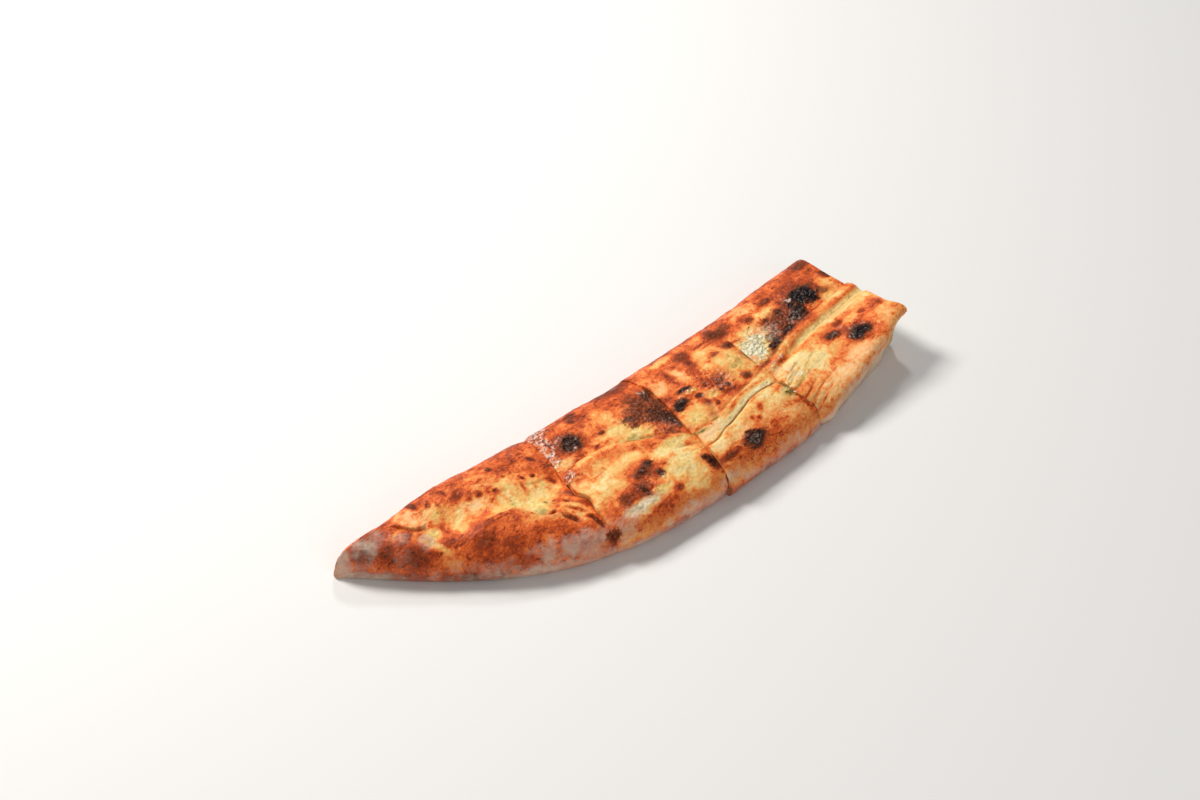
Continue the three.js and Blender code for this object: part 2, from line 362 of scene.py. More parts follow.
# %% Browned and pale patches
BAKED = [
    # end slice; the dark patches at the very tip, up to x 32, are partly painted shade
    (14.4, -8.4, 6, 5, 0, 0.34), (21, -16, 7, 4, -50, 0.3), (23, -9, 8, 5, -30, 0.26),
    (24, -2, 9, 3, -10, 0.12), (31.4, -17.4, 5, 4, 0, 0.34), (32, -28, 8, 5, -45, 0.22),
    (39, -25.2, 4, 4, 0, 0.12), (39.4, -25, 4, 3, 0, 0.1), (40, -33, 4, 3, 0, 0.14),
    (41, -25.4, 4, 3, 0, 0.1), (41, -9.4, 4, 4, 0, 0.1), (47, -4, 4, 1.5, -80, 0.4),
    (47.4, -33.2, 5, 3, -30, 0.14), (51.5, -26, 4.5, 4, 0, 0.25), (53, -11, 1.5, 1.5, 0, 0.4),
    (55.4, -41.2, 5, 4, 0, 0.14), (55.4, -33.2, 4, 4, 0, 0.1), (57, -14, 1.6, 0.9, 90, 0.3),
    (60, -48, 9, 8, -30, 0.2), (61.5, -46, 2.8, 2.8, 0, 0.15), (63.5, -10.5, 2, 0.9, 90, 0.35),
    (65, -39, 7, 3, -25, 0.2), (67.5, -16, 3.2, 2.8, 0, 0.35), (71.4, -33.4, 4, 4, 0, 0.13),
    (71.5, -22, 1.6, 1.4, 0, 0.4), (72, -58, 14, 8, -30, 0.16), (72, -49, 4, 3, 0, 0.12),
    (72, -33, 4, 3, 0, 0.2), (77, -22.6, 2.1, 1.7, 20, 0.35), (80, -46, 8, 5, -30, 0.12),
    (85.5, -26, 1.6, 1.4, 0, 0.35), (87, -60, 5, 4, -20, 0.2), (92, -12.6, 1.7, 1.5, 0, 0.55),
    (93, -63, 8, 3, -25, 0.15), (94.5, -21, 1.1, 1.1, 0, 0.4), (96, -49.4, 4, 3, 0, 0.12),
    (97, -16.5, 4, 3, 0, 0.2), (98, -55.8, 2.1, 1.2, 10, 0.45), (99, -32, 3, 1, 80, 0.4),
    (100, -73, 8, 5, -20, 0.15), (102, -27.5, 1.6, 1, -70, 0.6), (103.4, -49.4, 5, 3, 0, 0.26),
    (103.5, -54, 1.3, 0.9, 0, 0.3), (103.6, -64.2, 4.4, 1.7, -62, 0.4), (104, -11, 12, 5, 0, 0.08),
    (104.5, -49, 1.9, 1.6, 0, 0.25), (104.5, -35, 1.8, 0.9, 70, 0.35), (107.5, -29.5, 1.4, 1.1, 0, 0.55),
    (108.5, -60, 3.4, 0.8, -60, 0.3), (109.2, -53.8, 1.8, 1.2, -70, 0.6), (111, -63.5, 3, 0.9, -60, 0.25),
    (111.4, -25.2, 4, 4, 0, 0.12), (112, -69, 2.6, 1.3, -30, 0.4), (112, -46.5, 5, 2.6, -55, 0.22),
    (112.5, -13, 1.8, 1.1, 0, 0.4), (113.2, -73.5, 4.4, 1.4, -86, 0.42), (114, -37, 3, 1.8, -60, 0.34),
    (114.5, -20, 3, 1.5, -70, 0.5), (115, -50.5, 3.6, 0.9, -75, 0.4),
    # second slice
    (116.5, -61.5, 5, 1.8, -65, 0.25), (117, -29, 8, 2.8, 75, 0.22), (122, -74, 5, 5, 0, 0.14),
    (123, -49.5, 3, 1.5, 0, 0.14), (124, -24.5, 2.6, 1, 20, 0.5), (125, -39.5, 3.4, 1, 0, 0.4),
    (128, -9, 5, 3, 0, 0.12), (128, -8, 3, 0.9, 50, 0.5), (129, -17, 5, 0.9, 85, 0.3),
    (132, -74, 6, 5, 0, 0.22), (133, -53.5, 4, 0.7, 10, 0.4), (134, -36, 6, 3, 20, 0.18),
    (136, -9, 4, 3, 0, 0.14), (137.5, -52, 0.8, 1.4, 0, 0.4), (138, -25, 10, 8, 0, 0.2),
    (142, -74, 8, 6, 0, 0.32), (143, -8, 5, 1.3, 20, 0.2), (144, -31, 5, 2.4, 0, 0.2),
    (145, -88, 12, 4, -5, 0.22), (147, -44, 6, 2, 0, 0.16), (147, -36.5, 2.6, 1, 20, 0.35),
    (149.5, -13, 1.7, 2, 0, 0.45), (150, -26, 5, 3, 0, 0.1), (150, -19, 6, 3, 0, 0.1),
    (152, -66, 11, 7, 0, 0.28), (152, -8.5, 4, 2, 20, 0.4), (153, -30, 4, 1.5, 0, 0.2),
    (153, -11, 2.2, 1.5, 0, 0.35), (155, -88, 2.2, 1.5, 0, 0.3), (156, -30.5, 1.9, 1.2, 0, 0.6),
    (156, -15, 4, 2.4, 0, 0.2), (160, -24, 5, 4, 0, 0.1), (160.5, -85, 3, 2, 0, 0.4),
    (163, -53, 10, 2.6, -30, 0.22), (164, -69, 3, 1.5, 0, 0.3), (166, -92, 10, 3, -8, 0.1),
    (173, -17, 6, 3, -20, 0.18), (176, -57, 3.4, 1.5, -35, 0.3), (177, -13, 3, 1.5, 0, 0.15),
    # the broad patch at 183, -8 on the far shoulder is painted shade, set against a highlight there
    (181.4, -9.4, 5, 3, 0, 0.14), (183, -8, 12, 6, 0, 0.34), (184, -67.5, 2, 2.6, 0, 0.2),
    (184, -17, 7, 4, 0, 0.08), (185.5, -84, 4, 6.6, 18, 0.22),
    # third slice
    (192, -57, 4, 3, 0, 0.14), (194, -8, 6, 6, 0, 0.1), (195, -88.5, 7, 1.8, 0, 0.4),
    (199, -37, 5, 3.4, 0, 0.25), (203, -66.5, 4, 1.2, 10, 0.1), (204, -21, 8, 8, 0, 0.1),
    (206, -33, 5, 3, 0, 0.12), (207.4, -25.2, 4, 4, 0, 0.12), (208, -57, 4, 3, 0, 0.12),
    (208, -25, 4, 3, 0, 0.12), (210, -61, 3, 1.4, 60, 0.3), (211.5, -27, 3, 7, 8, 0.32),
    (213, -54, 3.2, 2.6, 60, 0.35), (217, -22, 2.6, 1.5, 0, 0.3), (217.5, -57, 2.1, 1.4, 40, 0.5),
    (221, -65.5, 5, 1.2, 22, 0.35), (222, -78.5, 1.7, 1.3, 60, 0.35), (223, -42, 3.6, 5, 20, 0.2),
    (224, -48.4, 5, 4, 0, 0.26), (225, -8, 8, 3, 10, 0.26), (225.5, -80.5, 2.2, 1.3, 0, 0.35),
    (226, -92, 26, 6, 0, 0.14), (226.5, -32, 3, 4.8, 20, 0.18), (227, -25, 2.2, 2.6, 0, 0.35),
    (228, -18, 5, 5, 0, 0.3), (229, -55, 6, 2.4, 0, 0.3), (230.5, -88, 2.6, 2.4, 0, 0.35),
    (231, -75, 3, 1.8, 55, 0.4), (231, -45, 6, 8, 0, 0.06), (236, -57, 10, 1.4, 4, 0.2),
    (237, -46, 4, 5, 0, 0.15), (239, -88.5, 1.6, 0.9, 0, 0.35), (239.4, -9.2, 6, 4, 0, 0.12),
    (240, -8, 9, 3, 10, 0.15), (241, -62, 4, 1.1, 0, 0.22), (242, -30, 3.4, 1.1, 0, 0.4),
    (243, -18.2, 6, 1.1, 4, 0.35), (244.8, -82.5, 2.8, 2.4, 0, 0.25), (244.8, -52.5, 3, 2.6, 0, 0.45),
    (245, -21.4, 4, 1, 0, 0.3), (248, -72, 4, 3, 0, 0.26), (249, -84.5, 7, 5, 10, 0.08),
    (251, -84.5, 3.4, 1.8, -20, 0.3), (253.4, -34, 4, 3, 0, 0.12), (254, -29.5, 3.8, 2.8, 0, 0.4),
    (255, -41, 3, 4, 0, 0.26), (255, -17.5, 7, 6, 20, 0.3), (255.4, -41, 3, 3, 0, 0.12),
    (256, -87.6, 2.2, 7, 12, 0.34),
    # last slice
    (259, -91, 3, 0.6, 22, 0.4), (259, -17.5, 5, 5, 0, 0.3), (260, -53.5, 4, 2.2, -10, 0.35),
    (260.4, -30.4, 3.6, 3, 0, 0.25), (261, -84.6, 5, 0.6, 16, 0.4), (263, -88.6, 5, 0.6, 18, 0.4),
    (266, -92, 5, 0.6, 16, 0.4), (266, -15.5, 4, 3.6, 0, 0.3), (268, -58.5, 5.4, 1.6, 6, 0.4),
    (268, -8, 9, 5, 0, 0.18), (270, -86, 3, 0.5, 18, 0.3), (271.4, -25.4, 5, 3, 0, 0.14),
    (274, -89.6, 3, 0.5, 16, 0.3), (276, -20, 5, 2.6, 0, 0.18), (279, -22.5, 3.6, 1.9, -15, 0.45),
    (280, -93, 14, 1.2, 8, 0.1), (282, -83, 5, 0.8, 12, 0.2), (283.5, -54, 4, 2, 25, 0.3),
    (287.4, -57.4, 5, 3, 10, 0.12), (288, -79, 5, 2, 5, 0.12), (288, -57.4, 4, 3, 0, 0.1),
    (288, -9, 5, 3, 0, 0.14), (289, -52, 6, 1.7, 14, 0.22), (291, -37, 8, 5, 15, 0.25),
    (296, -49, 8, 1.7, 8, 0.16), (296.5, -17.5, 5, 2.6, 0, 0.4), (298, -12, 6, 3, 0, 0.15),
    (299.5, -75.4, 5, 4.4, 0, 0.28), (300, -45.5, 12, 1.5, 5, 0.22), (302, -30, 6, 8, 0, 0.2),
    (303, -64, 6, 4, -8, 0.3), (304, -49, 5, 3, 0, 0.1), (306, -49, 3, 2, 0, 0.2),
    (311, -66, 4, 3, 0, 0.3), (311.4, -41.4, 6, 3, 0, 0.12), (313, -59.6, 5, 2.4, 0, 0.4),
    (314, -18, 14, 6, 0, 0.14), (315, -73, 11, 8, 0, 0.25), (319.4, -17.2, 6, 4, 0, 0.2),
    (320, -65, 6, 5, 0, 0.4), (320, -49, 6, 3, 0, 0.16), (321, -81, 8, 4, 0, 0.22),
    (322, -59.4, 6, 1.7, 10, 0.22), (322, -57.4, 8, 3, 0, 0.16), (325, -10, 16, 6, 0, 0.03),
    (327.4, -17.4, 5, 4, 0, 0.12), (328, -73, 6, 4, 0, 0.16), (328, -62.8, 3.4, 2, -10, 0.35),
    (330, -33, 5, 2.4, -15, 0.35), (334, -66.6, 5, 3, 10, 0.22), (334, -46.6, 12, 1.7, 4, 0.25),
    (335.4, -57.4, 5, 3, 0, 0.1), (336, -49, 5, 3, 0, 0.14), (336, -17, 6, 5, 0, 0.14),
    (337, -8, 7, 5, 0, 0.38), (338, -9, 5, 2.8, 20, 0.35), (340, -65, 2.4, 4, 0, 0.35),
    (341, -24, 3, 3.4, 0, 0.4),
]
PALE = [
    # end slice
    (29.5, -14, 4, 3, -40, 0.3), (41, -30, 8, 1.6, -65, 0.3), (41, -11, 5, 8, 20, 0.36),
    (45, -25, 4, 3, -20, 0.4), (52.5, -16, 4, 5, -20, 0.3), (58, -26, 4.5, 7, 10, 0.32),
    (63, -25, 6, 4.6, 0, 0.34), (63.6, -25, 4, 4, 0, 0.2), (74, -28, 7, 5, -20, 0.35),
    (80, -36, 8, 4, -15, 0.32), (85, -17, 9, 5, -15, 0.16), (88, -38, 7, 5, -20, 0.45),
    (88, -32.6, 6, 4, 0, 0.4), (92, -26, 5, 4, -20, 0.35), (96, -46, 7, 6.4, -20, 0.6),
    (96, -32, 9, 5, 0, 0.24), (100, -59.5, 9, 2, -28, 0.16), (104, -42, 8, 7, 0, 0.38),
    (104, -33, 5, 4, 0, 0.26), (108, -57, 7, 4, -30, 0.22), (111, -65, 4, 4, 0, 0.24),
    (111, -41, 4, 4, 0, 0.14), (111.4, -57.2, 4, 4, 0, 0.18), (111.4, -41.2, 4, 4, 0, 0.32),
    # second slice
    (119.4, -65.2, 5, 5, 0, 0.3), (119.4, -57.2, 5, 4, 0, 0.2), (119.6, -57, 3, 3, 0, 0.12),
    (121, -65, 5, 5, 0, 0.2), (124, -53, 6, 4, 0, 0.15), (128, -71, 4, 4, 0, 0.14),
    (128, -59, 9, 5, 0, 0.34), (128, -34, 6, 3, 0, 0.28), (135.4, -65.2, 6, 4, 0, 0.2),
    (135.4, -49.4, 6, 3, 0, 0.18), (136, -40.5, 8, 3, 0, 0.3), (137, -55, 18, 4, -4, 0.26),
    (139, -82.6, 9, 3, -4, 0.35), (146, -39.5, 10, 1.8, -4, 0.2), (151.4, -33.4, 4, 3, 0, 0.2),
    (151.4, -25.2, 4, 3, 0, 0.16), (152, -81, 5, 3, 0, 0.3), (152, -56, 10, 4, -5, 0.28),
    (152, -42, 8, 2, 0, 0.3), (159.4, -49.2, 5, 3, -20, 0.18), (163, -23, 5, 6, 30, 0.18),
    (164, -36, 8, 5, 10, 0.34), (168, -43, 10, 4, -15, 0.42), (168, -8.6, 4, 3, 0, 0.12),
    # the patch at 172, -86 is painted light on the near shoulder, which turns away from the light
    (172, -86, 9, 5, 0, 0.22), (172, -76, 10, 6, 0, 0.4), (174, -65, 10, 4.4, -12, 0.5),
    (183, -73, 4, 4, 0, 0.2), (184, -81, 4, 4, 0, 0.2),
    # third slice
    (192, -80.6, 5, 3, 0, 0.2), (192, -73, 5, 3, 0, 0.22), (195, -80.6, 7, 2.6, 2, 0.38),
    (199.4, -17.2, 5, 4, 0, 0.18), (200, -73, 12, 3.6, 4, 0.36), (200, -70, 10, 2.6, 2, 0.38),
    (200, -8.6, 4, 3, 0, 0.12), (201, -57, 9, 6, 0, 0.28), (202, -27.6, 5, 4.4, 0, 0.26),
    (206, -78, 5, 2, 10, 0.15), (207, -74, 4, 3, 0, 0.1), (208, -73.4, 5, 3, 0, 0.24),
    (209, -81, 8, 4, 0, 0.22), (211, -41, 5, 1.6, 0, 0.4), (215, -65.4, 4, 3, 0, 0.1),
    (215.4, -57.4, 4, 3, 0, 0.2), (216, -73.2, 5, 3, 10, 0.2), (216, -65, 4, 3, 0, 0.12),
    (216, -28, 3, 6, 6, 0.38), (217, -66, 8, 2.4, 12, 0.3), (218, -73, 13, 4.4, 14, 0.24),
    (220, -11, 9, 3, 10, 0.38), (221, -50.6, 5, 3.6, 0, 0.36), (224, -57.4, 4, 2, 0, 0.16),
    (226, -61.5, 16, 1.4, 10, 0.2), (231, -65.4, 6, 2.6, 8, 0.36), (231, -33, 4, 4, 0, 0.18),
    (231.4, -73.2, 5, 3, 10, 0.2), (231.4, -40, 4, 3, 0, 0.12), (231.4, -9.2, 6, 4, 0, 0.2),
    (232, -80, 5, 4, 0, 0.12), (232, -74, 5, 3, 0, 0.14), (232, -66, 4, 3, 0, 0.08),
    (232, -65, 4, 3, 0, 0.16), (233, -65.5, 8, 3, 6, 0.2), (238, -76, 4, 3, 0, 0.2),
    (238, -25, 7, 4, 10, 0.28), (239.4, -49.2, 5, 4, 0, 0.2), (240, -81.4, 5, 3, 0, 0.12),
    (240, -71.6, 10, 2.4, 4, 0.36), (240, -60.5, 12, 1.2, 4, 0.3), (243, -88, 8, 4, 0, 0.16),
    (245, -89, 7, 5, 0, 0.12), (245, -78, 6, 4, 0, 0.36), (246, -37, 10, 6, 0, 0.32),
    (247, -12, 5, 2, 0, 0.18), (247.4, -81.2, 5, 4, 0, 0.2), (247.4, -57.2, 5, 2, 0, 0.2),
    (250, -44, 8, 6, 0, 0.26),
    # last slice; the long patches along the near shoulder at 269, 289 and 309 are painted light, where the
    # shoulder turns away from the light
    (267, -39.5, 12, 8.6, 15, 0.55), (269, -91, 14, 6, 6, 0.2), (270, -67, 14, 7, 10, 0.5),
    (270, -27.6, 8, 3, 10, 0.3), (271.4, -16.6, 5, 3, 0, 0.16), (271.6, -73, 5, 3, 0, 0.2),
    (277, -50, 6, 2, 16, 0.25), (282, -11.6, 12, 5, -6, 0.24), (283, -71, 10, 5.4, 6, 0.46),
    (287.4, -24.4, 6, 3, 0, 0.4), (289, -88, 14, 6, 8, 0.22), (290, -59, 10, 2, 10, 0.14),
    (290, -24.6, 4, 2, 0, 0.3), (296, -24.4, 4, 3, 0, 0.26), (296, -8.6, 4, 3, 0, 0.12),
    (297, -73, 7, 5, 0, 0.26), (303, -82.4, 12, 3, 4, 0.2), (309, -84, 14, 5, 8, 0.16),
    (320, -63, 5, 3, 10, 0.38), (325, -54, 18, 1.5, 3, 0.3), (330, -39.6, 10, 4, -4, 0.26),
    (333, -74, 8, 5, 0, 0.14), (335, -55, 10, 3, 0, 0.28), (336, -29, 5, 4, 0, 0.28),
]

# %% Scorch marks, and thin places where greens show through
SCORCHED = [
    # end slice
    (20, -16, 4, 2.4, -50, 0.24), (32, -28, 5, 3.4, -45, 0.26), (47, -4, 3.4, 1, -80, 0.36),
    (60.5, -46, 3.4, 3.4, 0, 0.24), (77, -22.6, 1.6, 1.2, 20, 0.34), (92, -12.6, 1.2, 1, 0, 0.34),
    (98, -56, 1.6, 0.8, 10, 0.42), (102, -27.5, 1, 0.7, -70, 0.4), (103.8, -63.4, 3.2, 1.2, -62, 0.5),
    (107.5, -29.5, 1, 0.7, 0, 0.38), (109.2, -53.8, 1.3, 0.9, -70, 0.42),
    (113.5, -73.5, 3.6, 0.9, -86, 0.36), (115, -83.4, 3.8, 2.8, 0, 0.72),
    # second slice
    (132, -74, 4, 4.2, 0, 0.56), (137, -29, 6, 4, 0, 0.5), (138, -25, 7, 6, 20, 1.05),
    (144, -75, 2.4, 4.2, 10, 0.8), (145, -73, 4, 6, 10, 0.36), (151, -66, 5, 2.6, 5, 0.88),
    (151.5, -11, 3.6, 2.6, -20, 0.36), (154, -67, 6, 4, 0, 0.4), (156, -30.6, 1.5, 0.9, 0, 0.5),
    (157, -64, 3, 2.2, -20, 0.9), (158.5, -72, 2.6, 2.2, -30, 0.86), (160.5, -85.2, 1.9, 1.3, 0, 0.4),
    (173, -38.6, 3, 1.5, 0, 0.66), (177, -35, 8, 5.4, -10, 0.7), (184, -30, 8, 10, 0, 0.66),
    (185, -84, 2.8, 5, 18, 0.96), (185, -54, 5, 3, -50, 0.6), (188, -40, 8, 9, 0, 0.82),
    (190, -46, 5, 8, 10, 0.92),
    # third slice
    (192, -33, 4, 5, 0, 0.7), (192.5, -26, 4, 4.8, -30, 0.84), (195, -88.8, 5, 1, 0, 0.36),
    (201, -44.8, 6, 3, 10, 1.12), (210.5, -38.2, 4.6, 1.5, -8, 1.2), (213.5, -46.8, 2.2, 1.7, 0, 0.9),
    (214.6, -89, 9, 5.4, -3, 0.36), (214.6, -88.4, 7.8, 4.5, -3, 1.08), (217.4, -57.2, 1.6, 1.1, 40, 0.5),
    (222, -43, 1.7, 1.5, 0, 0.46), (226, -51.6, 1.6, 1.6, 0, 0.8), (228, -18, 3.8, 3.6, 0, 0.44),
    (229.5, -45.6, 3.2, 4.2, 0, 0.56), (231.4, -51, 2, 1.7, 0, 0.84), (232, -42.4, 2, 1.9, 0, 0.46),
    (244.8, -52.8, 2.2, 1.9, 0, 0.62), (254, -29.6, 2.8, 2.2, 0, 0.82), (254.5, -17.5, 5, 4.4, 10, 0.72),
    # last slice
    (259, -17.4, 3.6, 3.6, 0, 0.66), (265, -16, 3.2, 3, 0, 0.48), (273.5, -27.2, 1.2, 0.7, 40, 0.5),
    (277, -45, 7, 2.5, 22, 1), (279, -22.8, 2.3, 1.1, -15, 0.42), (279.5, -40.5, 6, 4, 10, 0.66),
    (285.5, -29.4, 3.2, 2.2, 0, 0.74), (290, -42.5, 8, 2.8, 14, 0.96), (291, -34.4, 13, 7.4, 10, 0.6),
    (296, -29, 3, 3, -20, 0.84), (296.5, -17.8, 3.7, 1.7, 0, 0.46), (303, -64.4, 5, 2.7, -8, 0.96),
    (305, -36, 9, 4.4, 28, 1.15), (307, -41, 4, 2, 20, 0.86), (313, -60, 3.5, 1.3, 0, 0.4),
    (315.2, -73.6, 7.2, 5.2, 4, 1.18), (315.5, -28.6, 12, 6.4, 4, 1.3), (320, -31, 6, 5.4, 0, 1.3),
    (330, -33.4, 3.4, 1.5, -15, 0.42), (338, -9.4, 3.9, 1.7, 20, 0.48), (341, -24, 2, 2.7, 0, 0.7),
]
THIN = [
    # end slice
    (41, -29, 7, 1.4, -65, 0.6), (44, -25, 4, 2.6, -20, 1), (53, -17, 5, 4, -20, 0.5),
    (88, -38, 8, 4.4, -20, 0.8), (91, -27, 4, 3, -20, 0.5), (96, -46, 7, 6, -20, 1.1),
    (103, -40, 6, 6, 0, 0.4),
    # second slice
    (128, -35, 3, 3, 0, 0.5), (134, -52.6, 5, 1.4, 10, 0.5), (139, -82, 9, 2.6, -5, 0.8),
    (152, -80.6, 5, 2.4, 0, 0.8), (165, -35, 7, 5, 0, 0.6), (167, -44, 10, 4.4, -20, 1),
    (171, -77, 9, 6, 0, 0.4), (172, -50, 4, 2, -30, 1), (175, -63, 8, 3, -10, 0.9),
    (188, -64, 6, 2, -20, 0.6),
    # third slice
    (194, -67, 5, 1.4, -10, 1), (202, -58, 10, 5, 0, 0.8), (220, -50.6, 4, 3, 0, 0.6),
    (247, -41, 9, 9, 0, 0.7), (252, -77, 5, 3, 0, 1),
    # last slice
    (265, -90, 6, 1.6, 0, 0.2), (266, -74.6, 10, 2.4, 14, 0.7), (267, -40, 12.4, 8.6, 15, 1.1),
    (270, -28.6, 8, 3, 10, 0.7), (278, -71, 12, 4, 10, 0.4), (332, -36, 8, 5, 0, 0.3),
]
GREENS = [
    # end slice
    (95, -52.6, 2.1, 1.9, 0, 0.6), (100.8, -47, 0.9, 1.4, 0, 0.8),
    # second slice
    (166, -46, 6, 2.2, -20, 0.45), (173, -50.6, 3.4, 1.4, -30, 0.8),
    # third slice
    (193.5, -67.4, 4.5, 1, -5, 0.85), (206.6, -65.6, 2.6, 0.9, 0, 0.85), (244.6, -43.6, 1.7, 1.5, 0, 0.5),
    (249, -42.6, 2, 3, 0, 0.4), (252.3, -73, 5, 1.1, -70, 0.9), (252.6, -79, 4.4, 1.7, -10, 0.9),
    (256, -43.6, 5.4, 0.8, 88, 1),
    # last slice
    (260, -77.6, 5, 0.8, 18, 0.4), (261, -70.6, 5, 0.6, 20, 0.5), (262, -35, 2, 1.6, 0, 0.5),
    (268, -66.6, 5, 0.6, 20, 0.5), (270.5, -51, 4.4, 1, 25, 0.8), (271, -65.4, 1, 1, 0, 0.5),
    (276, -69.4, 4, 0.5, 20, 0.45), (282, -66.6, 3, 0.6, 20, 0.4),
]

# %% [markdown]
# Some places blistered into a crisp, pimply skin. The butter from the brush pooled beside the cuts and
# in the blisters, and it still shines there, partly as a real gloss and partly as painted glare. Where the
# dough stayed pale and damp it turned rosy rather than yellow, and the flour of the board still dusts the
# tip and the foot of the sides.

# %% Crisp, buttered, rosy and floured patches
CRISP = [
    # end slice
    (29, -13, 8, 3, -40, 0.3),
    # second slice
    (119.6, -44, 5, 2.6, 30, 1.2), (124, -27, 5, 4, 60, 1.2), (127, -14, 9, 5, 80, 1.2),
    (131, -4, 9, 4.4, 45, 1), (138, -25, 8, 7, 0, 0.9), (147, -77, 5, 5, 0, 0.6),
    (154, -68, 9, 6, 0, 0.5), (184, -36, 13, 12, 0, 0.5), (189, -50, 8, 8, 0, 0.6),
    # third slice
    (201, -44, 7, 4, 0, 0.8), (211, -40, 6, 4, 0, 1), (214, -88, 8, 4, 0, 0.6), (229, -45, 9, 9, 0, 0.9),
    # last slice
    (266, -57, 7, 2, 8, 0.6), (268, -39, 12, 9, 15, 1), (288, -38, 16, 9, 25, 0.9),
    (303, -64, 6, 3, 0, 0.8), (315, -73, 8, 6, 0, 0.8), (315, -28, 13, 8, 10, 1),
]
GLAZED = [
    # end slice
    (109, -10.5, 2.2, 1, 20, 0.5),
    # second slice
    (119.4, -44, 4.8, 2.8, 30, 1.2), (123, -27, 5.4, 4, 60, 1.2), (126.4, -14, 9, 4.8, 80, 1.2),
    (132, -3, 10, 4.6, 45, 1.2), (134, -19, 3, 1.6, 30, 0.5), (137.4, -30, 1.8, 1.1, 30, 0.85),
    (141, -81.6, 9, 1.8, -5, 0.6), (147, -80, 2.6, 0.9, 0, 0.5), (158, -74.6, 2.2, 1.3, 0, 0.6),
    (181, -30, 8, 8, 0, 0.1), (188, -51, 5.4, 5, 0, 0.3),
    # third slice
    (192.6, -22.8, 3, 1.5, -20, 0.6), (211, -40.4, 5, 1.1, 0, 0.55), (214, -88.4, 4.4, 2.6, 0, 0.45),
    (214, -48, 2, 1.4, 0, 0.5), (231, -47, 6, 7, 0, 0.36),
    # last slice
    (262.5, -42, 7, 6.4, 30, 1.2), (264, -64.6, 4.4, 1.3, 20, 0.7), (266, -72.4, 5.4, 1.3, 20, 0.9),
    (266, -56.4, 6, 1.3, 8, 0.9), (270, -36, 9, 5.4, 15, 0.8), (273, -75.4, 4, 1, 20, 0.6),
    (283, -37, 8, 6, 20, 0.42), (300, -38.6, 8, 5, 30, 0.4), (304, -64.6, 3.2, 1.5, 0, 0.35),
    (307.6, -26, 2.2, 1.7, -30, 1.2), (310.4, -72.4, 2.2, 1.7, 0, 0.55), (311, -64, 1.7, 2, -40, 0.5),
    (315, -68, 2.2, 1.1, 0, 0.6), (321, -70.6, 2.1, 1.5, 0, 0.5),
]
ROSY = [
    # end slice
    (41, -10, 7, 9, 20, 1), (73, -26, 8, 5, -20, 0.6), (84, -18, 10, 4, 0, 0.4),
    (100, -60, 8, 2.4, -28, 0.9), (100, -8, 14, 4, 0, 0.3), (104, -69, 8, 3, -20, 0.6),
    (115.5, -77, 5, 1.6, 85, 0.3),
    # second slice
    (122, -47, 6, 5, 0, 0.7), (124, -80, 8, 5, -10, 0.6), (128, -30, 8, 6, 0, 0.5),
    # third slice
    (197, -70, 8, 3, 0, 0.8), (202, -28, 5, 5, 0, 0.8), (216, -28, 4, 8, 0, 0.5),
    (225, -86, 30, 6, 0, 0.5),
    # last slice
    (262, -64, 6, 6, 0, 0.6), (281, -12, 12, 5, 0, 0.7), (297, -82, 12, 4, 0, 0.4),
    (305, -85, 34, 8, 8, 0.8), (320, -52, 20, 4, 4, 0.5),
]
FLOURED = [
    # end slice
    (3, -3, 5, 5, 0, 0.9), (9, 0, 4, 2, -10, 0.8), (13, -8, 7, 4, -40, 0.85), (24, -9, 6, 5, -30, 0.5),
    (26, -23, 5, 4, -40, 0.5), (29, -14, 5, 2.6, -35, 0.6), (30, -38, 10, 4, -48, 0.5),
    (31, -17.4, 5, 4, -40, 0.5), (39, -25.4, 4, 4, 0, 0.7), (55, -58, 16, 4, -40, 0.6),
    (98, -77, 22, 5, -20, 0.8),
    # second slice
    (125, -82, 10, 5, -8, 0.75), (139, -82.6, 10, 2.8, -6, 0.6), (168, -96, 22, 2.4, -3, 0.8),
    # third slice
    (224, -100, 26, 2.4, 0, 0.8),
    # last slice
    (305, -93, 30, 2, 8, 0.7),
]

# %% [markdown]
# The knife went through some patches, and each of its two sides belongs to a slice. So a slice takes
# the patches whose middle lies on it or just past its cut, but not those further off: those would
# bleed onto it, and the real slices differ sharply across a cut. Flour came later and crosses the cuts.

# %% Reading the patches
CUT_REACH = 1.5


def on_slice(index, marks):
    """The patches whose middle lies on a slice, or so close that the knife went through them."""
    start = CUTS[index - 1] if index else -10
    end = CUTS[index] if index < 3 else LENGTH + 10
    return [mark for mark in marks if start - CUT_REACH < mark[0] < end + CUT_REACH]


def patches(x, y, marks, ragged, softness):
    """How much a point lies in any patch of a list, with each patch's rim broken up."""
    most = np.zeros_like(x)
    for cx, cy, long, wide, turn, strength in marks:
        c, s = np.cos(np.radians(turn)), np.sin(np.radians(turn))
        u, v = (x - cx) * c + (y - cy) * s, (y - cy) * c - (x - cx) * s
        reach = np.hypot(u / long, v / wide) + ragged
        most = np.maximum(most, strength * (1 - smoothstep(reach, 1 - softness, 1 + softness)))
    return most


def noise_at(points, size, seed=0.0, depth=1):
    """Soft noise of about -1 to 1, whose lumps are about size millimetres across."""
    shift = Vector((seed * 17.3, seed * 9.1, seed * 5.7))
    scale = 1 / size
    if depth > 1:
        return np.array([noise.fractal(Vector(p) * scale + shift, 1.0, 2.0, depth) for p in points])
    return np.array([noise.noise(Vector(p) * scale + shift) for p in points])


print(sum(map(len, (BAKED, PALE, SCORCHED, THIN, GREENS, CRISP, GLAZED, ROSY, FLOURED))), "patches")
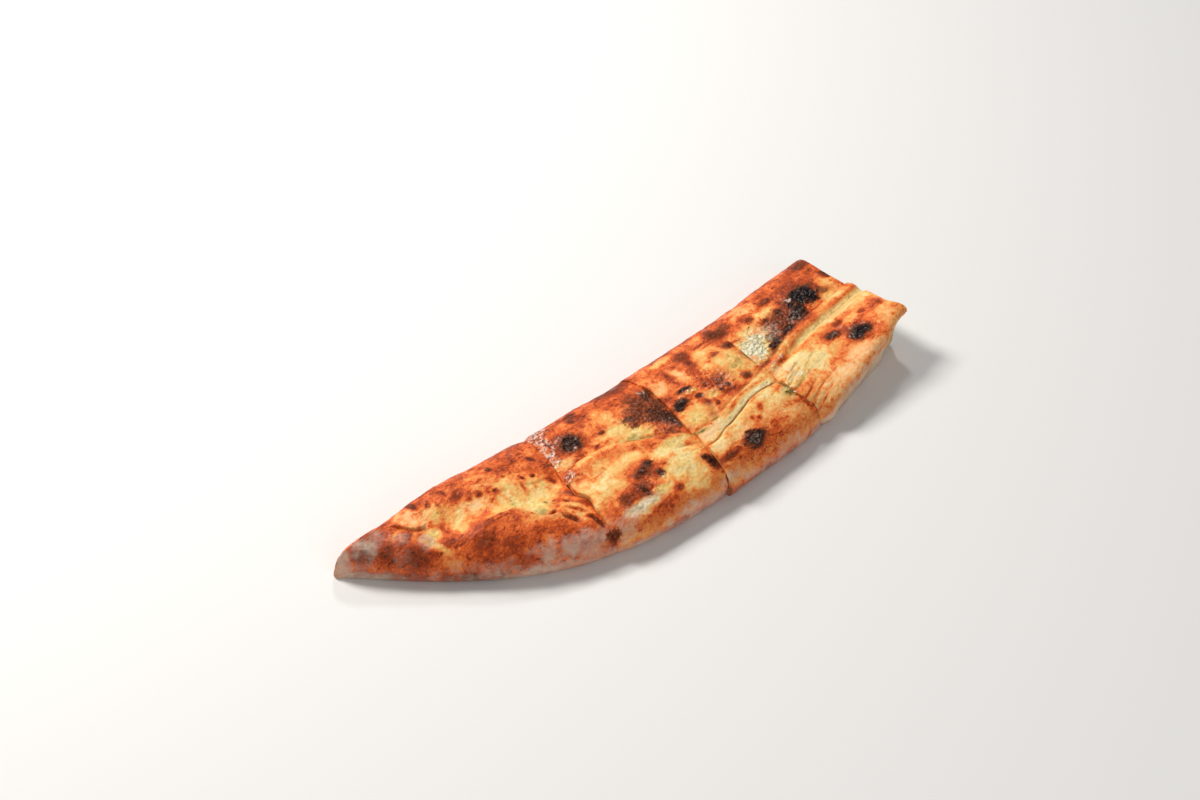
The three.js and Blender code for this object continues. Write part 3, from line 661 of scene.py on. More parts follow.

# %% [markdown]
# ## Creases
#
# Where the dough was pinched together at the tip it lies in small pleats, and the knife has dragged
# some wrinkles beside the cuts. A crease is a short line: the skin dips along it, and on one side it
# may stand up as a rolled fold that drops off sharply at the line. A deep crease also gets a painted shade.

# %% Creases: line, dip, width of the dip, and the rise beside the line (left of it where positive)
CREASES = [
    ([(30, -5), (33, -9), (37, -15), (40, -18), (44, -19), (47, -17)], 0.4, 1.0, 2.0),
    ([(84, -44), (90, -52), (96, -57), (103, -58.5)], 0.5, 1.2, -1.6),
    ([(101, -59), (103.8, -64), (106, -69)], 1.6, 1.4, 0.0),
    ([(105, -56), (109, -61), (112.5, -67)], 0.6, 0.8, 0.6),
    ([(108.6, -51), (112, -57), (115.5, -61)], 0.8, 0.9, -0.7),
    ([(111.5, -67), (113.3, -73), (114, -80)], 1.1, 1.0, -0.6),
    ([(110, -44), (113, -48), (115, -54)], 0.7, 1.0, 0.6),
    ([(56, -37), (70, -38.5), (85, -41.5), (91, -50)], 0.4, 1.8, -1.4),
    ([(255, -86), (264, -83.6), (276, -79.6)], 0.3, 0.6, 0.12),
    ([(256, -90), (266, -87), (280, -83.6)], 0.35, 0.6, 0.1),
    ([(258, -93.4), (268, -90.4), (281, -87.6)], 0.3, 0.6, 0.1),
    ([(254, -76), (262, -72.4), (276, -67.4)], 0.3, 0.7, 0.1),
    ([(254, -72), (264, -68), (274, -64.6)], 0.25, 0.7, 0.1),
    ([(248, -80.5), (262, -77.5), (278, -72.5)], 0.3, 1.6, 0.35),
    ([(248, -76.5), (262, -73), (273, -69)], 0.2, 1.5, 0.2),
    ([(92, -13), (103, -16), (116, -21)], 0.25, 1.3, 0.3),
    ([(92, -20), (104, -23), (116, -29)], 0.25, 1.3, 0.3),
    ([(80, -8), (98, -9), (114, -13)], 0.2, 1.6, 0.3),
    ([(94, -29), (103, -33), (114, -36)], 0.25, 1.2, 0.2),
    ([(143, -6), (152, -9.5), (160, -9)], 0.3, 1.2, 0.2),
    ([(129, -51), (134, -52.5), (139, -50.5)], 0.4, 0.7, 0.0),
    ([(234, -16.5), (242, -17.5), (250, -17)], 0.3, 1.0, 0.0),
    ([(176, -54), (184, -57), (191, -62)], 0.8, 0.9, -1.0),
    ([(174, -67), (184, -69), (191, -73)], 0.6, 1.2, -0.8),
]
ROLL_WIDTH = 4.5
FADE = 0.25


def crease_relief(x, y):
    """Relief of all creases together, in millimetres, and the painted shade of a crease, darker deep in it.
    """
    relief, shade = np.zeros_like(x), np.zeros_like(x)
    for line, dip, width, rise in CREASES:
        best = np.full_like(x, 1e9)
        side, along = np.zeros_like(x), np.zeros_like(x)
        count = len(line) - 1
        for i, ((ax, ay), (bx, by)) in enumerate(zip(line, line[1:])):
            dx, dy = bx - ax, by - ay
            share = np.clip(((x - ax) * dx + (y - ay) * dy) / (dx * dx + dy * dy), 0, 1)
            off = np.hypot(x - ax - share * dx, y - ay - share * dy)
            nearer = off < best
            best = np.where(nearer, off, best)
            side = np.where(nearer, np.sign(dx * (y - ay) - dy * (x - ax)), side)
            along = np.where(nearer, (i + share) / count, along)
        fade = smoothstep(along, 0, FADE) * smoothstep(1 - along, 0, FADE)
        groove = bell(best, width) * fade
        roll = 0
        if rise:
            roll = np.exp(-best / ROLL_WIDTH) * smoothstep(side * np.sign(rise) * best, -0.3, 0.5)
        relief += abs(rise) * roll * fade - dip * groove
        shade = np.maximum(shade, groove * min(1, dip * dip))
    return relief, shade


# %% [markdown]
# ## The knife
#
# A round knife presses soft bread down before it cuts, so each edge beside a cut is rolled down, and
# not by the same amount all along: deep where the dough is thin, hardly at all over a thick fold. The
# table gives, from the near side to the far side, how far the edge is pressed and how wide the roll is.
#
# Slices that were cut apart don't lie quite level either. It shows best at the first cut, where the
# second slice's near flap stands up above the end slice's.

# %% Edges rolled down at the cuts: place across the bread, depth, width of the roll
ROLLED = {
    (0, "end"): [
        (-90, 0.6, 2.5), (-70, 0.8, 4), (-52, 0.8, 3), (-42, 0.8, 2), (-20, 2.0, 3.2), (3, 2.0, 3),
    ],
    (1, "start"): [
        (-92, 1.0, 1.2), (-70, 0.6, 1.6), (-50, 0.9, 1.4), (-40, 1.2, 4), (-20, 1.4, 5), (3, 1.4, 3),
    ],
    (1, "end"): [
        (-98, 1.4, 3), (-82, 2.2, 4), (-70, 1.2, 2), (-50, 0.5, 1.0), (-20, 0.1, 0.8), (3, 0.1, 1.2),
    ],
    (2, "start"): [
        (-100, 0.3, 0.6), (-78, 0.4, 0.8), (-66, 0.8, 1.4), (-45, 0.4, 1.0), (-20, 0.1, 1), (3, 0.1, 1),
    ],
    (2, "end"): [
        (-100, 3.4, 5), (-84, 2.6, 5), (-72, 1.6, 2.4), (-55, 0.8, 1.4), (-40, 1.4, 2), (3, 0.8, 1.4),
    ],
    (3, "start"): [
        (-98, 1.2, 2), (-80, 2.0, 3), (-66, 1.6, 3), (-55, 1.0, 1.6), (-40, 1.4, 2), (3, 0.8, 1.4),
    ],
    (3, "end"): [
        (-90, 0.2, 0.8), (3, 0.4, 0.8),
    ],
}


def bulge(index, x, y, past):
    """How much higher a slice's near flap stands than its neighbour's across the cut."""
    near = smoothstep(past, 0, 4)
    if index == 0:
        return -0.8 * near * smoothstep(x, 96, 114) * smoothstep(-y, 46, 54)
    if index == 1:
        return 1.4 * near * bell(x - 124, 18) * smoothstep(-y, 50, 66)
    return np.zeros_like(x)


def rolled_down(index, end_name, y, distance):
    places, depths, widths = zip(*ROLLED[index, end_name])
    return np.interp(y, places, depths) * np.exp(-distance / np.interp(y, places, widths))


# %% [markdown]
# ## Relief and bake of the skin
#
# Every point gets a push in or out along its normal, and a few marks that the finish reads later: how
# baked, how scorched, how thin over the filling, how floury, and whether it is cut crumb. Marks kept
# on the points are exact to half a millimetre and travel with the mesh.
#
# Under the patches lies a plain bake: one value for each flap of each slice, and for the near wall one
# that changes along the bread. Near the tip that wall is as brown as the top, partly from the heat and
# partly as painted shade, and under the last slice's overhanging edge it stayed white with flour. There
# the wall also starts higher up. A painted shade darkens the line under the lip, more where the flap
# lifts off, as the last table says.
#
# Four grains of noise, from broad swells to fine pores, are laid over both the relief and the bake.

# %% Plain bake, flour of the walls and the painted shade under the lip
FAR_BAKE = (0.52, 0.50, 0.51, 0.50)
NEAR_BAKE = (0.53, 0.41, 0.40, 0.42)
FAR_WALL_BAKE, FAR_WALL_FLOUR = 0.48, 1.0
# near wall: its bake, and towards the tip a painted shade as well
WALL_BAKE_AND_SHADE = [
    (0, 0.8), (60, 0.86), (72, 0.6), (135, 0.56), (150, 0.68), (190, 0.66), (250, 0.6), (275, 0.1),
    (344, 0.1),
]
WALL_FLOUR = [
    (0, 1.3), (10, 1.2), (20, 0.45), (60, 0.4), (72, 0.95), (135, 0.95), (150, 0.6), (190, 0.45),
    (250, 0.45), (275, 2.4), (344, 3.0),
]
SHADE_UNDER_LIP = [
    (118, 0.1), (150, 0.2), (165, 0.6), (176, 1), (200, 1.2), (212, 0.7), (222, 1.3), (270, 1.4),
    (300, 1), (308, 0.3), (344, 0.2),
]
WALL_FROM, WALL_TO = 0.72, 0.12
OVERHUNG_WALL = 0.34


def low_on_side(points):
    """0 on the top, 1 at the foot of either wall."""
    x, y, z = points.T
    overhung = OVERHUNG_WALL * smoothstep(x, 262, 274) * smoothstep(seam(x) - y, 20, 30)
    return 1 - smoothstep(z / top_height(np.maximum(x, 6)) - overhung, WALL_TO, WALL_FROM)


# %% Marks of the patches and of the fold
GROOVE_START, GROOVE_END = (186, 196), (247, 256)
GREENS_START, STRIP_START, LAST_STRIP_START = (200, 210), (198, 208), (272, 290)
GROOVE_MIDDLE, STRIP_MIDDLE = 10.6, 8.0


def patch_marks(index, points, up, ragged, fine):
    """Every list of patches as a mark on the points. Most of them keep to the top."""
    x, y, z = points.T
    rough_rim = 0.5 * ragged + 0.2 * fine

    def amount(marks, rim, softness):
        return patches(x, y, on_slice(index, marks), rim, softness)

    return {
        "scorch": amount(SCORCHED, 0.34 * ragged + 0.16 * fine, 0.55) * up,
        "halo": amount(SCORCHED, 0.3 * ragged, 0.95),
        "baked": amount(BAKED, rough_rim, 0.7) * smoothstep(z, 1, 6),
        "pale": amount(PALE, rough_rim, 0.8) * up,
        "thin": amount(THIN, rough_rim, 0.7) * up,
        "greens": amount(GREENS, rough_rim, 0.6) * up,
        "crisp": amount(CRISP, 0.4 * ragged, 0.5) * up,
        "glaze": amount(GLAZED, 0.4 * ragged + 0.3 * fine, 0.6) * up,
        "rosy": amount(ROSY, rough_rim, 0.8),
    }


def mark_the_fold(index, marks, points, straight, past, middling, up):
    """Painted shade under the lip and in the groove, and the thin, pale strip in front of the groove."""
    x = points[:, 0]
    shade_under_lip = bell(past + 0.5, 1.1) * up * (0.6 + 0.6 * middling) * through(SHADE_UNDER_LIP, x)
    line = beyond_lip(index, straight, past)
    along = smoothstep(x, *GROOVE_START) * (1 - smoothstep(x, *GROOVE_END))
    grooved = bell(line - GROOVE_MIDDLE, 0.9) * along
    strip_along = along * smoothstep(x, *STRIP_START) + smoothstep(x, *LAST_STRIP_START) * (index == 3)
    strip = bell(line - STRIP_MIDDLE, 2.0) * strip_along
    # painted shade: a dark line under the lip and along the groove
    marks["painted_shade"] = np.maximum(marks["painted_shade"], np.clip(np.maximum(shade_under_lip, 1.1 * grooved), 0, 1))
    marks["greens"] = np.maximum(marks["greens"], 0.6 * grooved * smoothstep(x, *GREENS_START))
    marks["thin"] = np.maximum(marks["thin"], 0.8 * strip * up)
    marks["pale"] = np.maximum(marks["pale"], 0.55 * strip * up)
    marks["glaze"] = np.maximum(marks["glaze"], 0.5 * strip * along * up)


# %% Relief and marks of one slice
RELIEF_GRAINS = (0.7, 0.4, 0.16, 0.08)
BAKE_GRAINS = (0.08, 0.10, 0.12, 0.06)
ROUGHENED = {"scorch": (0.3, 0.35, 0.3), "thin": (0, 0.35, 0.2), "crisp": (0, 0.45, 0.45)}


def weather(index, points, straight, from_start, to_end):
    """Relief in millimetres and the marks, for points of the outer skin."""
    x, y, z = points.T
    low = low_on_side(points)
    up = 1 - low
    past = seam(straight) - y
    broad, middling = noise_at(points, 26, 1), noise_at(points, 9, 2)
    ragged, fine = noise_at(points, 4.2, 3, 3), noise_at(points, 1.7, 4, 2)
    grains = (broad, middling, ragged, fine)
    folds, crease_shade = crease_relief(x, y)
    marks = patch_marks(index, points, up, ragged, fine)
    marks["painted_shade"] = crease_shade
    if index:
        mark_the_fold(index, marks, points, straight, past, middling, up)
    if index == 2:
        # painted shade: a dark line in the gap at the near part of the third cut
        gap_shade = 0.8 * bell(to_end, 0.9) * smoothstep(-y, 72, 80) * up
        marks["painted_shade"] = np.maximum(marks["painted_shade"], gap_shade)

    relief = sum(height * grain for height, grain in zip(RELIEF_GRAINS, grains))
    relief += folds * up + bulge(index, x, y, past) * up
    for name, (lift, by_ragged, by_fine) in ROUGHENED.items():
        relief += marks[name] * (lift + by_ragged * ragged + by_fine * fine)
    uneven = 0.8 + 0.4 * ragged
    if index:
        relief -= rolled_down(index, "start", y, from_start) * uneven
    relief -= rolled_down(index, "end", y, to_end) * uneven
    relief *= smoothstep(z, 0.2, 3.5)

    on_near_side = past > 0
    wall_bake_and_shade = np.where(on_near_side, through(WALL_BAKE_AND_SHADE, x, 6), FAR_WALL_BAKE)
    wall_flour = np.where(on_near_side, through(WALL_FLOUR, x, 6), FAR_WALL_FLOUR)
    lip_crest = bell(past - 2.0, 2.2) * up if index else 0
    far_edge = bell(y - far_side(x), 12) * up
    bake = lerp(FAR_BAKE[index], NEAR_BAKE[index], smoothstep(past, -3, 3))
    bake += sum(share * grain for share, grain in zip(BAKE_GRAINS, grains))
    bake += marks.pop("baked") - marks.pop("pale") + 0.3 * marks.pop("halo")
    # the far edge is darker, partly baked and partly painted shade against the sheen on the far shoulder
    bake += 0.05 * lip_crest + 0.16 * far_edge
    bake = lerp(bake, wall_bake_and_shade + 0.25 * middling + 0.1 * ragged, smoothstep(low, 0.35, 0.9))
    flour = patches(x, y, FLOURED, 0.8 * middling + 0.5 * ragged, 0.9)
    flour = np.maximum(flour, smoothstep(low + 0.35 * middling, 0.2, 1.1) * wall_flour)
    marks["bake"] = np.clip(bake, 0, 1)
    marks["flour"] = np.clip(flour, 0, 1) * (1 - marks["scorch"])
    return relief, marks


# %% [markdown]
# ## The line of the knife
#
# A knife that is rolled across soft bread doesn't run straight. Each cut strays by a few millimetres to
# either side, and both slices beside it follow, so that the edges still fit each other like torn paper.
# At the open end the near corner has curled up in the oven and is drawn out to a small horn.

# %% How each cut wanders: place across the bread, how far it strays
WANDER = {
    0: [(-100, 1.5), (-75, 1.7), (-67, 2.2), (-62, 4), (-58, 2.8), (-54, -0.2), (-50, 1), (-45, 1.5),
        (-39, 2.4), (-33, 3.8), (-27, 4.8), (-20, 5.4), (5, 6.4)],
    1: [(-100, -2), (-78, -1.6), (-72, -0.6), (-57, 1), (-50, 2), (-42, 3), (-27, 3.4), (-18, 1.4),
        (-8, 0)],
    2: [(-96, 5), (-90, 3.8), (-86, 1.6), (-80, -0.8), (-72, -1.8), (-65, -2.2), (-45, -1.8), (5, -1.5)],
}
WANDER_REACH = 10
HORN = 5.0
RIPPLE = 1.3


def wandering(x, y):
    """How far the knife strayed at a place: most at a cut, and fading out on both sides of it."""
    return sum(through(WANDER[i], y, 1.5) * bell(x - CUTS[i], WANDER_REACH) for i in WANDER)


def askew(x, y):
    """The cuts aren't square to the bread, so each point moves along a little."""
    middle = (far_side(x) + near_side(x)) / 2
    slant = CUT_SKEW * smoothstep(x, 20, CUTS[0]) * (1 - smoothstep(x, CUTS[2], LENGTH))
    return x + slant * (y - middle) / FULL_WIDTH + wandering(x, y)


def placed(x, ring):
    """A section in space: askew like the cuts, and drawn out to a horn at the curled corner."""
    y, z = ring.T
    horn = HORN * smoothstep(x, 328, LENGTH) * smoothstep(-y, 66, 81) * smoothstep(z, 10, 24)
    ripple = RIPPLE * smoothstep(x, 334, LENGTH) * np.sin(y / 9.5 + 0.6)
    return np.column_stack([askew(x, y) + horn + ripple, y, z])


# %% [markdown]
# ## Rolling out and folding a slice
#
# Each slice starts as a flat grid, the rolled-out dough. Its rows are the sections along the slice and
# its columns run round them, so folding it is a matter of moving every point of the grid to its place
# on its section. The grid goes on past the cut: in over the rim of the wall, back through the hollow
# and out over the other rim, and so the finished shell is closed. Modelling the shell by hand with
# extrude and inset would give the same rows, but not a smooth lip that changes along the bread.
#
# The rim of a cut is crumb, but where the knife pressed it shut the crust was dragged down over it. So
# three rows cross every rim, and a rim says for each of them how much of it is crumb.

# %% Sections of one slice set in their places
RIM_SHARES = (0.12, 0.35, 0.7)
OPEN_RIM = (0.1, 0.6, 1.0)
PRESSED_RIM = (0.0, 0.1, 0.5)
HOLLOW_FROM, LINING_ROWS = 36, 9
NOSE_ROWS, NOSE_BULGE = 6, 0.8


def skin_sheet(index):
    start = 0.4 if index == 0 else CUTS[index - 1] + KERF / 2
    end = LENGTH if index == 3 else CUTS[index] - KERF / 2
    xs = np.linspace(start, end, round((end - start) / STEP) + 1)
    return xs, np.array([placed(x, skin_ring(x, index)) for x in xs])


def outward(sheet):
    """Normals of the sheet, from the run of its rows and of its columns."""
    wrapped = np.concatenate([sheet[:, -1:], sheet, sheet[:, :1]], axis=1)
    normal = np.cross(wrapped[:, 2:] - wrapped[:, :-2], np.gradient(sheet, axis=0))
    return normal / np.maximum(np.linalg.norm(normal, axis=2, keepdims=True), 1e-9)


def with_inside(index, xs, skin):
    """The skin with the rims of the cuts and the lining added, and how many rows come before the skin."""
    lining = []
    for x in np.linspace(xs[-1], HOLLOW_FROM if index == 0 else xs[0], LINING_ROWS):
        lining.append(placed(x, hollow_ring(x, index, skin[int(np.argmin(abs(xs - x)))][:, 1:])))
    rows = list(skin)
    rows += [lerp(skin[-1], lining[0], share) for share in RIM_SHARES]
    rows += lining
    if index == 0:
        nose = []
        for turn in np.linspace(0, np.pi / 2, NOSE_ROWS + 1)[:-1]:
            ring = lerp(skin[0].mean(axis=0), skin[0], np.sin(turn))
            nose.append(ring - [NOSE_BULGE * np.cos(turn), 0, 0])
        rows = nose + rows + [lerp(lining[-1].mean(axis=0), lining[-1], 0.001)]
        return np.array(rows), len(nose)
    rows += [lerp(skin[0], lining[-1], share) for share in RIM_SHARES[::-1]]
    return np.array(rows + [skin[0]]), 0


def over_sheet(index, values, rows, first):
    """A mark of the skin on every row of the sheet: the rows past an end repeat that end."""
    filled = np.repeat(values[-1:], rows, axis=0)
    filled[first:first + len(values)] = values
    filled[:first] = values[0]
    if index:
        filled[-len(RIM_SHARES) - 1:] = values[0]
    return filled


def crumb_rows(index, rows, after_skin):
    """How much each row of the sheet is crumb: not at all on the skin, and fully inside."""
    crumb = np.zeros(rows)
    crumb[after_skin:] = 1
    crumb[after_skin:after_skin + len(RIM_SHARES)] = OPEN_RIM if index == 3 else PRESSED_RIM
    if index:
        crumb[-len(RIM_SHARES) - 1:] = PRESSED_RIM[::-1] + (0,)
    return crumb


# %% Small helpers for working on a mesh
def deselect_all():
    for other in bpy.context.selected_objects:
        other.select_set(False)


def weld(outwards=False):
    """Joins the active mesh's points that lie on one spot, and turns its faces outwards if asked to."""
    bpy.ops.object.mode_set(mode="EDIT")
    bpy.ops.mesh.select_all(action="SELECT")
    bpy.ops.mesh.remove_doubles(threshold=0.01 * MM)
    if outwards:
        bpy.ops.mesh.normals_make_consistent(inside=False)
    bpy.ops.object.mode_set(mode="OBJECT")


def put_mark(mesh, name, values):
    mark = mesh.attributes.new(name, "FLOAT", "POINT")
    mark.data.foreach_set("value", np.asarray(values, "f").ravel())


def move_points(mesh, places):
    """Sets every point of a mesh to a place on the bread."""
    mesh.vertices.foreach_set("co", ((places + SHIFT) * MM).astype("f").ravel())
    mesh.update()


# %% Building one slice's dough
def slice_dough(index):
    xs, skin = skin_sheet(index)
    columns = skin.shape[1]
    straight = np.repeat(xs, columns)
    from_start, to_end = np.repeat(xs - xs[0], columns), np.repeat(xs[-1] - xs, columns)
    relief, marks = weather(index, skin.reshape(-1, 3), straight, from_start, to_end)
    skin += outward(skin) * relief.reshape(-1, columns, 1)
    sheet, first = with_inside(index, xs, skin)
    rows = len(sheet)
    for name, mark in marks.items():
        marks[name] = over_sheet(index, mark.reshape(-1, columns), rows, first)
    marks["crumb"] = np.repeat(crumb_rows(index, rows, first + len(skin))[:, None], columns, axis=1)

    deselect_all()
    bpy.ops.mesh.primitive_grid_add(x_subdivisions=columns, y_subdivisions=rows - 1, size=1)
    dough = bpy.context.object
    dough.name = f"baked_dough_{index + 1}"
    assert len(dough.data.vertices) == rows * (columns + 1)
    move_points(dough.data, np.concatenate([sheet, sheet[:, :1]], axis=1))
    for name, mark in marks.items():
        put_mark(dough.data, name, np.concatenate([mark, mark[:, :1]], axis=1))
    weld(outwards=True)
    bpy.ops.object.shade_smooth()
    triangles = sum(len(p.vertices) - 2 for p in dough.data.polygons)
    print(dough.name, len(dough.data.vertices), "points", triangles, "triangles")
    return dough


doughs = [slice_dough(index) for index in range(4)]

# %% [markdown]
# ## Wiring a finish
#
# A finish is a material wired from a few kinds of node: noise and cells in the object's own
# coordinates, the marks on the points, sums, ramps and mixes. Short names for them keep the wiring of
# each layer readable. Sizes are given in millimetres and colours as the eye reads them.

# %% Colours and small node helpers
def srgb(red, green, blue):
    """A colour as the eye reads it, 0 to 255, turned into the linear values that Blender uses."""
    scaled = np.array([red, green, blue]) / 255
    linear = np.where(scaled <= 0.04045, scaled / 12.92, ((scaled + 0.055) / 1.055) ** 2.4)
    return (*linear.tolist(), 1.0)


class Finish:
    """A material and short names for the nodes that it is wired from."""

    def __init__(self, name):
        self.material = bpy.data.materials.new(name)
        self.material.use_nodes = True
        self.tree = self.material.node_tree
        self.shader = self.tree.nodes["Principled BSDF"]
        self.place = self.tree.nodes.new("ShaderNodeTexCoord").outputs["Object"]

    def link(self, value, socket):
        """Links an output to a socket, or sets the socket to a plain value."""
        if hasattr(value, "node"):
            self.tree.links.new(value, socket)
        else:
            socket.default_value = value

    def node(self, kind, inputs, **settings):
        node = self.tree.nodes.new("ShaderNode" + kind)
        for name, value in settings.items():
            setattr(node, name, value)
        for name, value in inputs.items():
            self.link(value, node.inputs[name])
        return node

    def set(self, **values):
        """Plain values of the shader's own sockets: Coat_Roughness stands for Coat Roughness."""
        for name, value in values.items():
            self.shader.inputs[name.replace("_", " ")].default_value = value

    def mark(self, name):
        return self.node("Attribute", {}, attribute_name=name).outputs["Fac"]

    def noise(self, size_mm, detail=3, roughness=0.6, stretch=(1, 1, 1), distortion=0.0):
        mapping = self.node("Mapping", {"Vector": self.place, "Scale": stretch})
        inputs = {"Vector": mapping.outputs["Vector"], "Scale": 1 / (size_mm * MM), "Detail": detail,
                  "Roughness": roughness, "Distortion": distortion}
        return self.node("TexNoise", inputs).outputs["Fac"]

    def cells(self, size_mm):
        return self.node("TexVoronoi", {"Vector": self.place, "Scale": 1 / (size_mm * MM)})

    def spots(self, size_mm, rarity, inner, outer):
        """Round specks in some of the cells of a cell pattern."""
        cells = self.cells(size_mm)
        chosen = self.math("GREATER_THAN", cells.outputs["Color"], rarity)
        return self.times(self.ranged(cells.outputs["Distance"], inner, outer, 1.0, 0.0), chosen)

    def math(self, operation, a, b=0.0, c=0.0):
        node = self.node("Math", {}, operation=operation)
        for value, socket in zip((a, b, c), node.inputs):
            self.link(value, socket)
        return node.outputs[0]

    def times(self, a, b):
        return self.math("MULTIPLY", a, b)

    def plus(self, a, b):
        return self.math("ADD", a, b)

    def larger(self, a, b):
        return self.math("MAXIMUM", a, b)

    def times_plus(self, a, factor, more):
        return self.math("MULTIPLY_ADD", a, factor, more)

    def ranged(self, value, low, high, to_low=0.0, to_high=1.0):
        """A soft step: to_low where the value is low, to_high where it is high."""
        inputs = {"Value": value, "From Min": low, "From Max": high, "To Min": to_low, "To Max": to_high}
        return self.node("MapRange", inputs, interpolation_type="SMOOTHSTEP").outputs["Result"]

    def ramp(self, value, stops):
        node = self.node("ValToRGB", {"Fac": value})
        ramp = node.color_ramp
        ramp.elements[0].position, ramp.elements[0].color = stops[0][0], srgb(*stops[0][1])
        ramp.elements[1].position, ramp.elements[1].color = stops[-1][0], srgb(*stops[-1][1])
        for position, colour in stops[1:-1]:
            ramp.elements.new(position).color = srgb(*colour)
        return node.outputs["Color"]

    def mix(self, share, a, b):
        """Sockets 6 and 7 and output 2 are a mix node's colours."""
        node = self.node("Mix", {}, data_type="RGBA")
        self.link(share, node.inputs[0])
        self.link(a if hasattr(a, "node") else srgb(*a), node.inputs[6])
        self.link(b if hasattr(b, "node") else srgb(*b), node.inputs[7])
        return node.outputs[2]

    def bump(self, height, distance_mm, below=None):
        inputs = {"Strength": 1.0, "Distance": distance_mm * MM, "Height": height}
        if below is not None:
            inputs["Normal"] = below
        return self.node("Bump", inputs).outputs["Normal"]


# %% [markdown]
# ## The finish of the dough
#
# Baked dough goes from cream through gold and orange to red-brown. That run is a colour ramp, read by
# the bake mark plus noise at three sizes, because real browning is mottled down to the size of a pore.
# Strokes of the brush add short dark dashes where the crust is brown already. Pale dough that stayed
# damp is rosy rather than yellow.

# %% Browning
crust = Finish("baked_dough")
bake, rosy = crust.mark("bake"), crust.mark("rosy")
patchy = crust.noise(10, 4, 0.62, (0.8, 1.2, 1), 0.6)
freckles = crust.noise(3.0, 5, 0.65)
pores = crust.noise(1.1, 3, 0.6)
strokes = crust.noise(3.6, 4, 0.65, (0.7, 1.3, 1), 1.6)
level = bake
for grain, amount in ((patchy, 0.4), (freckles, 0.56), (pores, 0.34)):
    level = crust.times_plus(grain, amount, crust.plus(level, -amount / 2))
dashes = crust.times(crust.ranged(strokes, 0.53, 0.66), 0.26)
level = crust.times_plus(dashes, crust.ranged(bake, 0.15, 0.6), level)
tone = crust.ramp(level, [
    (0.0, (250, 222, 158)), (0.18, (250, 198, 118)), (0.38, (246, 156, 80)),
    (0.56, (230, 106, 46)), (0.74, (172, 66, 24)), (1.0, (96, 38, 14)),
])
blush = crust.times(rosy, crust.ranged(level, 0.55, 0.1, 0.0, 0.75))
tone = crust.mix(blush, tone, (254, 190, 146))

# %% [markdown]
# ### Thin places, flour, crumb and painted shade
#
# Where the dough is thin the green filling shows through as an olive tint under yellow, with a fleck of
# herb here and there. Flour dulls the colour to a greyish pink, and the cut rims are plain crumb.
# Creases, the line under the lip, the groove and the gap at the third cut get a painted shade of dark
# brown.

# %% Thin places, flour, crumb and the painted shade of creases
thin, greens, flour = crust.mark("thin"), crust.mark("greens"), crust.mark("flour")
crumb, painted_shade = crust.mark("crumb"), crust.mark("painted_shade")
thin_tone = crust.ramp(freckles, [(0.34, (164, 136, 56)), (0.48, (228, 192, 102)), (0.68, (246, 230, 168))])
tone = crust.mix(crust.times(thin, crust.ranged(pores, 0.25, 0.6, 0.35, 0.85)), tone, thin_tone)
herbs = crust.times(crust.spots(2.4, 0.6, 0.15, 0.5), crust.ranged(pores, 0.4, 0.55))
herbs = crust.times(crust.times(herbs, thin), 0.6)
greenery = crust.times(greens, crust.ranged(freckles, 0.3, 0.55, 0.5, 1.0))
tone = crust.mix(crust.larger(herbs, greenery), tone, (98, 88, 24))
dust = crust.ranged(crust.times_plus(freckles, 1.1, crust.plus(flour, -0.5)), 0.1, 1.1)
dust_tone = crust.ramp(patchy, [(0.4, (200, 158, 144)), (0.6, (226, 206, 182))])
tone = crust.mix(crust.times(dust, 0.8), tone, dust_tone)
tone = crust.mix(crumb, tone, crust.ramp(pores, [(0.3, (222, 160, 96)), (0.6, (246, 206, 144))]))
# painted shade: dark brown in creases, under the lip, in the groove and in the gap at the third cut
tone = crust.mix(crust.times(painted_shade, 0.75), tone, (98, 42, 12))

# %% [markdown]
# ### Scorch marks
#
# A scorch mark has three zones with ragged rims: a singed red-brown halo, a burnt dark brown and, in
# the worst spots, charcoal with a bluish sheen. Pale specks where the burnt skin has also blistered are
# partly ash and partly painted glints.

# %% Singed, burnt and charred
scorch, crisp = crust.mark("scorch"), crust.mark("crisp")
grainy = crust.times_plus(pores, 1.4, crust.times_plus(freckles, 1.0, -1.2))
edge = crust.plus(scorch, grainy)
singed = crust.times(crust.ranged(edge, 0.1, 0.7), crust.ranged(scorch, 0.02, 0.2))
tone = crust.mix(singed, tone, crust.ramp(pores, [(0.4, (98, 40, 14)), (0.62, (156, 76, 38))]))
burnt_tone = crust.ramp(crust.times_plus(freckles, 0.4, crust.times(pores, 0.6)), [
    (0.42, (20, 8, 3)), (0.52, (50, 21, 8)), (0.64, (120, 64, 34)),
])
burnt = crust.times(crust.ranged(edge, 0.54, 1.0), crust.ranged(scorch, 0.2, 0.5))
tone = crust.mix(burnt, tone, burnt_tone)
charred_tone = crust.ramp(pores, [(0.45, (10, 10, 16)), (0.6, (34, 30, 36))])
tone = crust.mix(crust.ranged(edge, 1.05, 1.35), tone, charred_tone)
# ash and painted glints: pale specks on burnt, blistered skin
ash_and_glints = crust.times(crust.ranged(crust.noise(1.2, 2, 0.5), 0.62, 0.7), crust.times(scorch, crisp))
tone = crust.mix(crust.times(ash_and_glints, 0.45), tone, (208, 156, 122))

# %% [markdown]
# ### Butter, gloss and blisters
#
# Butter that soaked into thin dough turns it creamy, and where it was brushed on thick the skin puckers
# into small pale pimples, whose pale colour is partly skin and partly painted glare. It shows as a thin
# clear coat, strongest in the glazed patches and beaded over the crisp ones, above a skin whose
# roughness changes from place to place. Flour, crumb and char are matt. The relief is three bumps, one
# on the other: fine grain, the skin's own wrinkles, and blisters where it is burnt.

# %% Butter
glaze = crust.mark("glaze")
creamy = crust.times(crust.times(thin, glaze), 0.6)
tone = crust.mix(creamy, tone, (232, 228, 196))
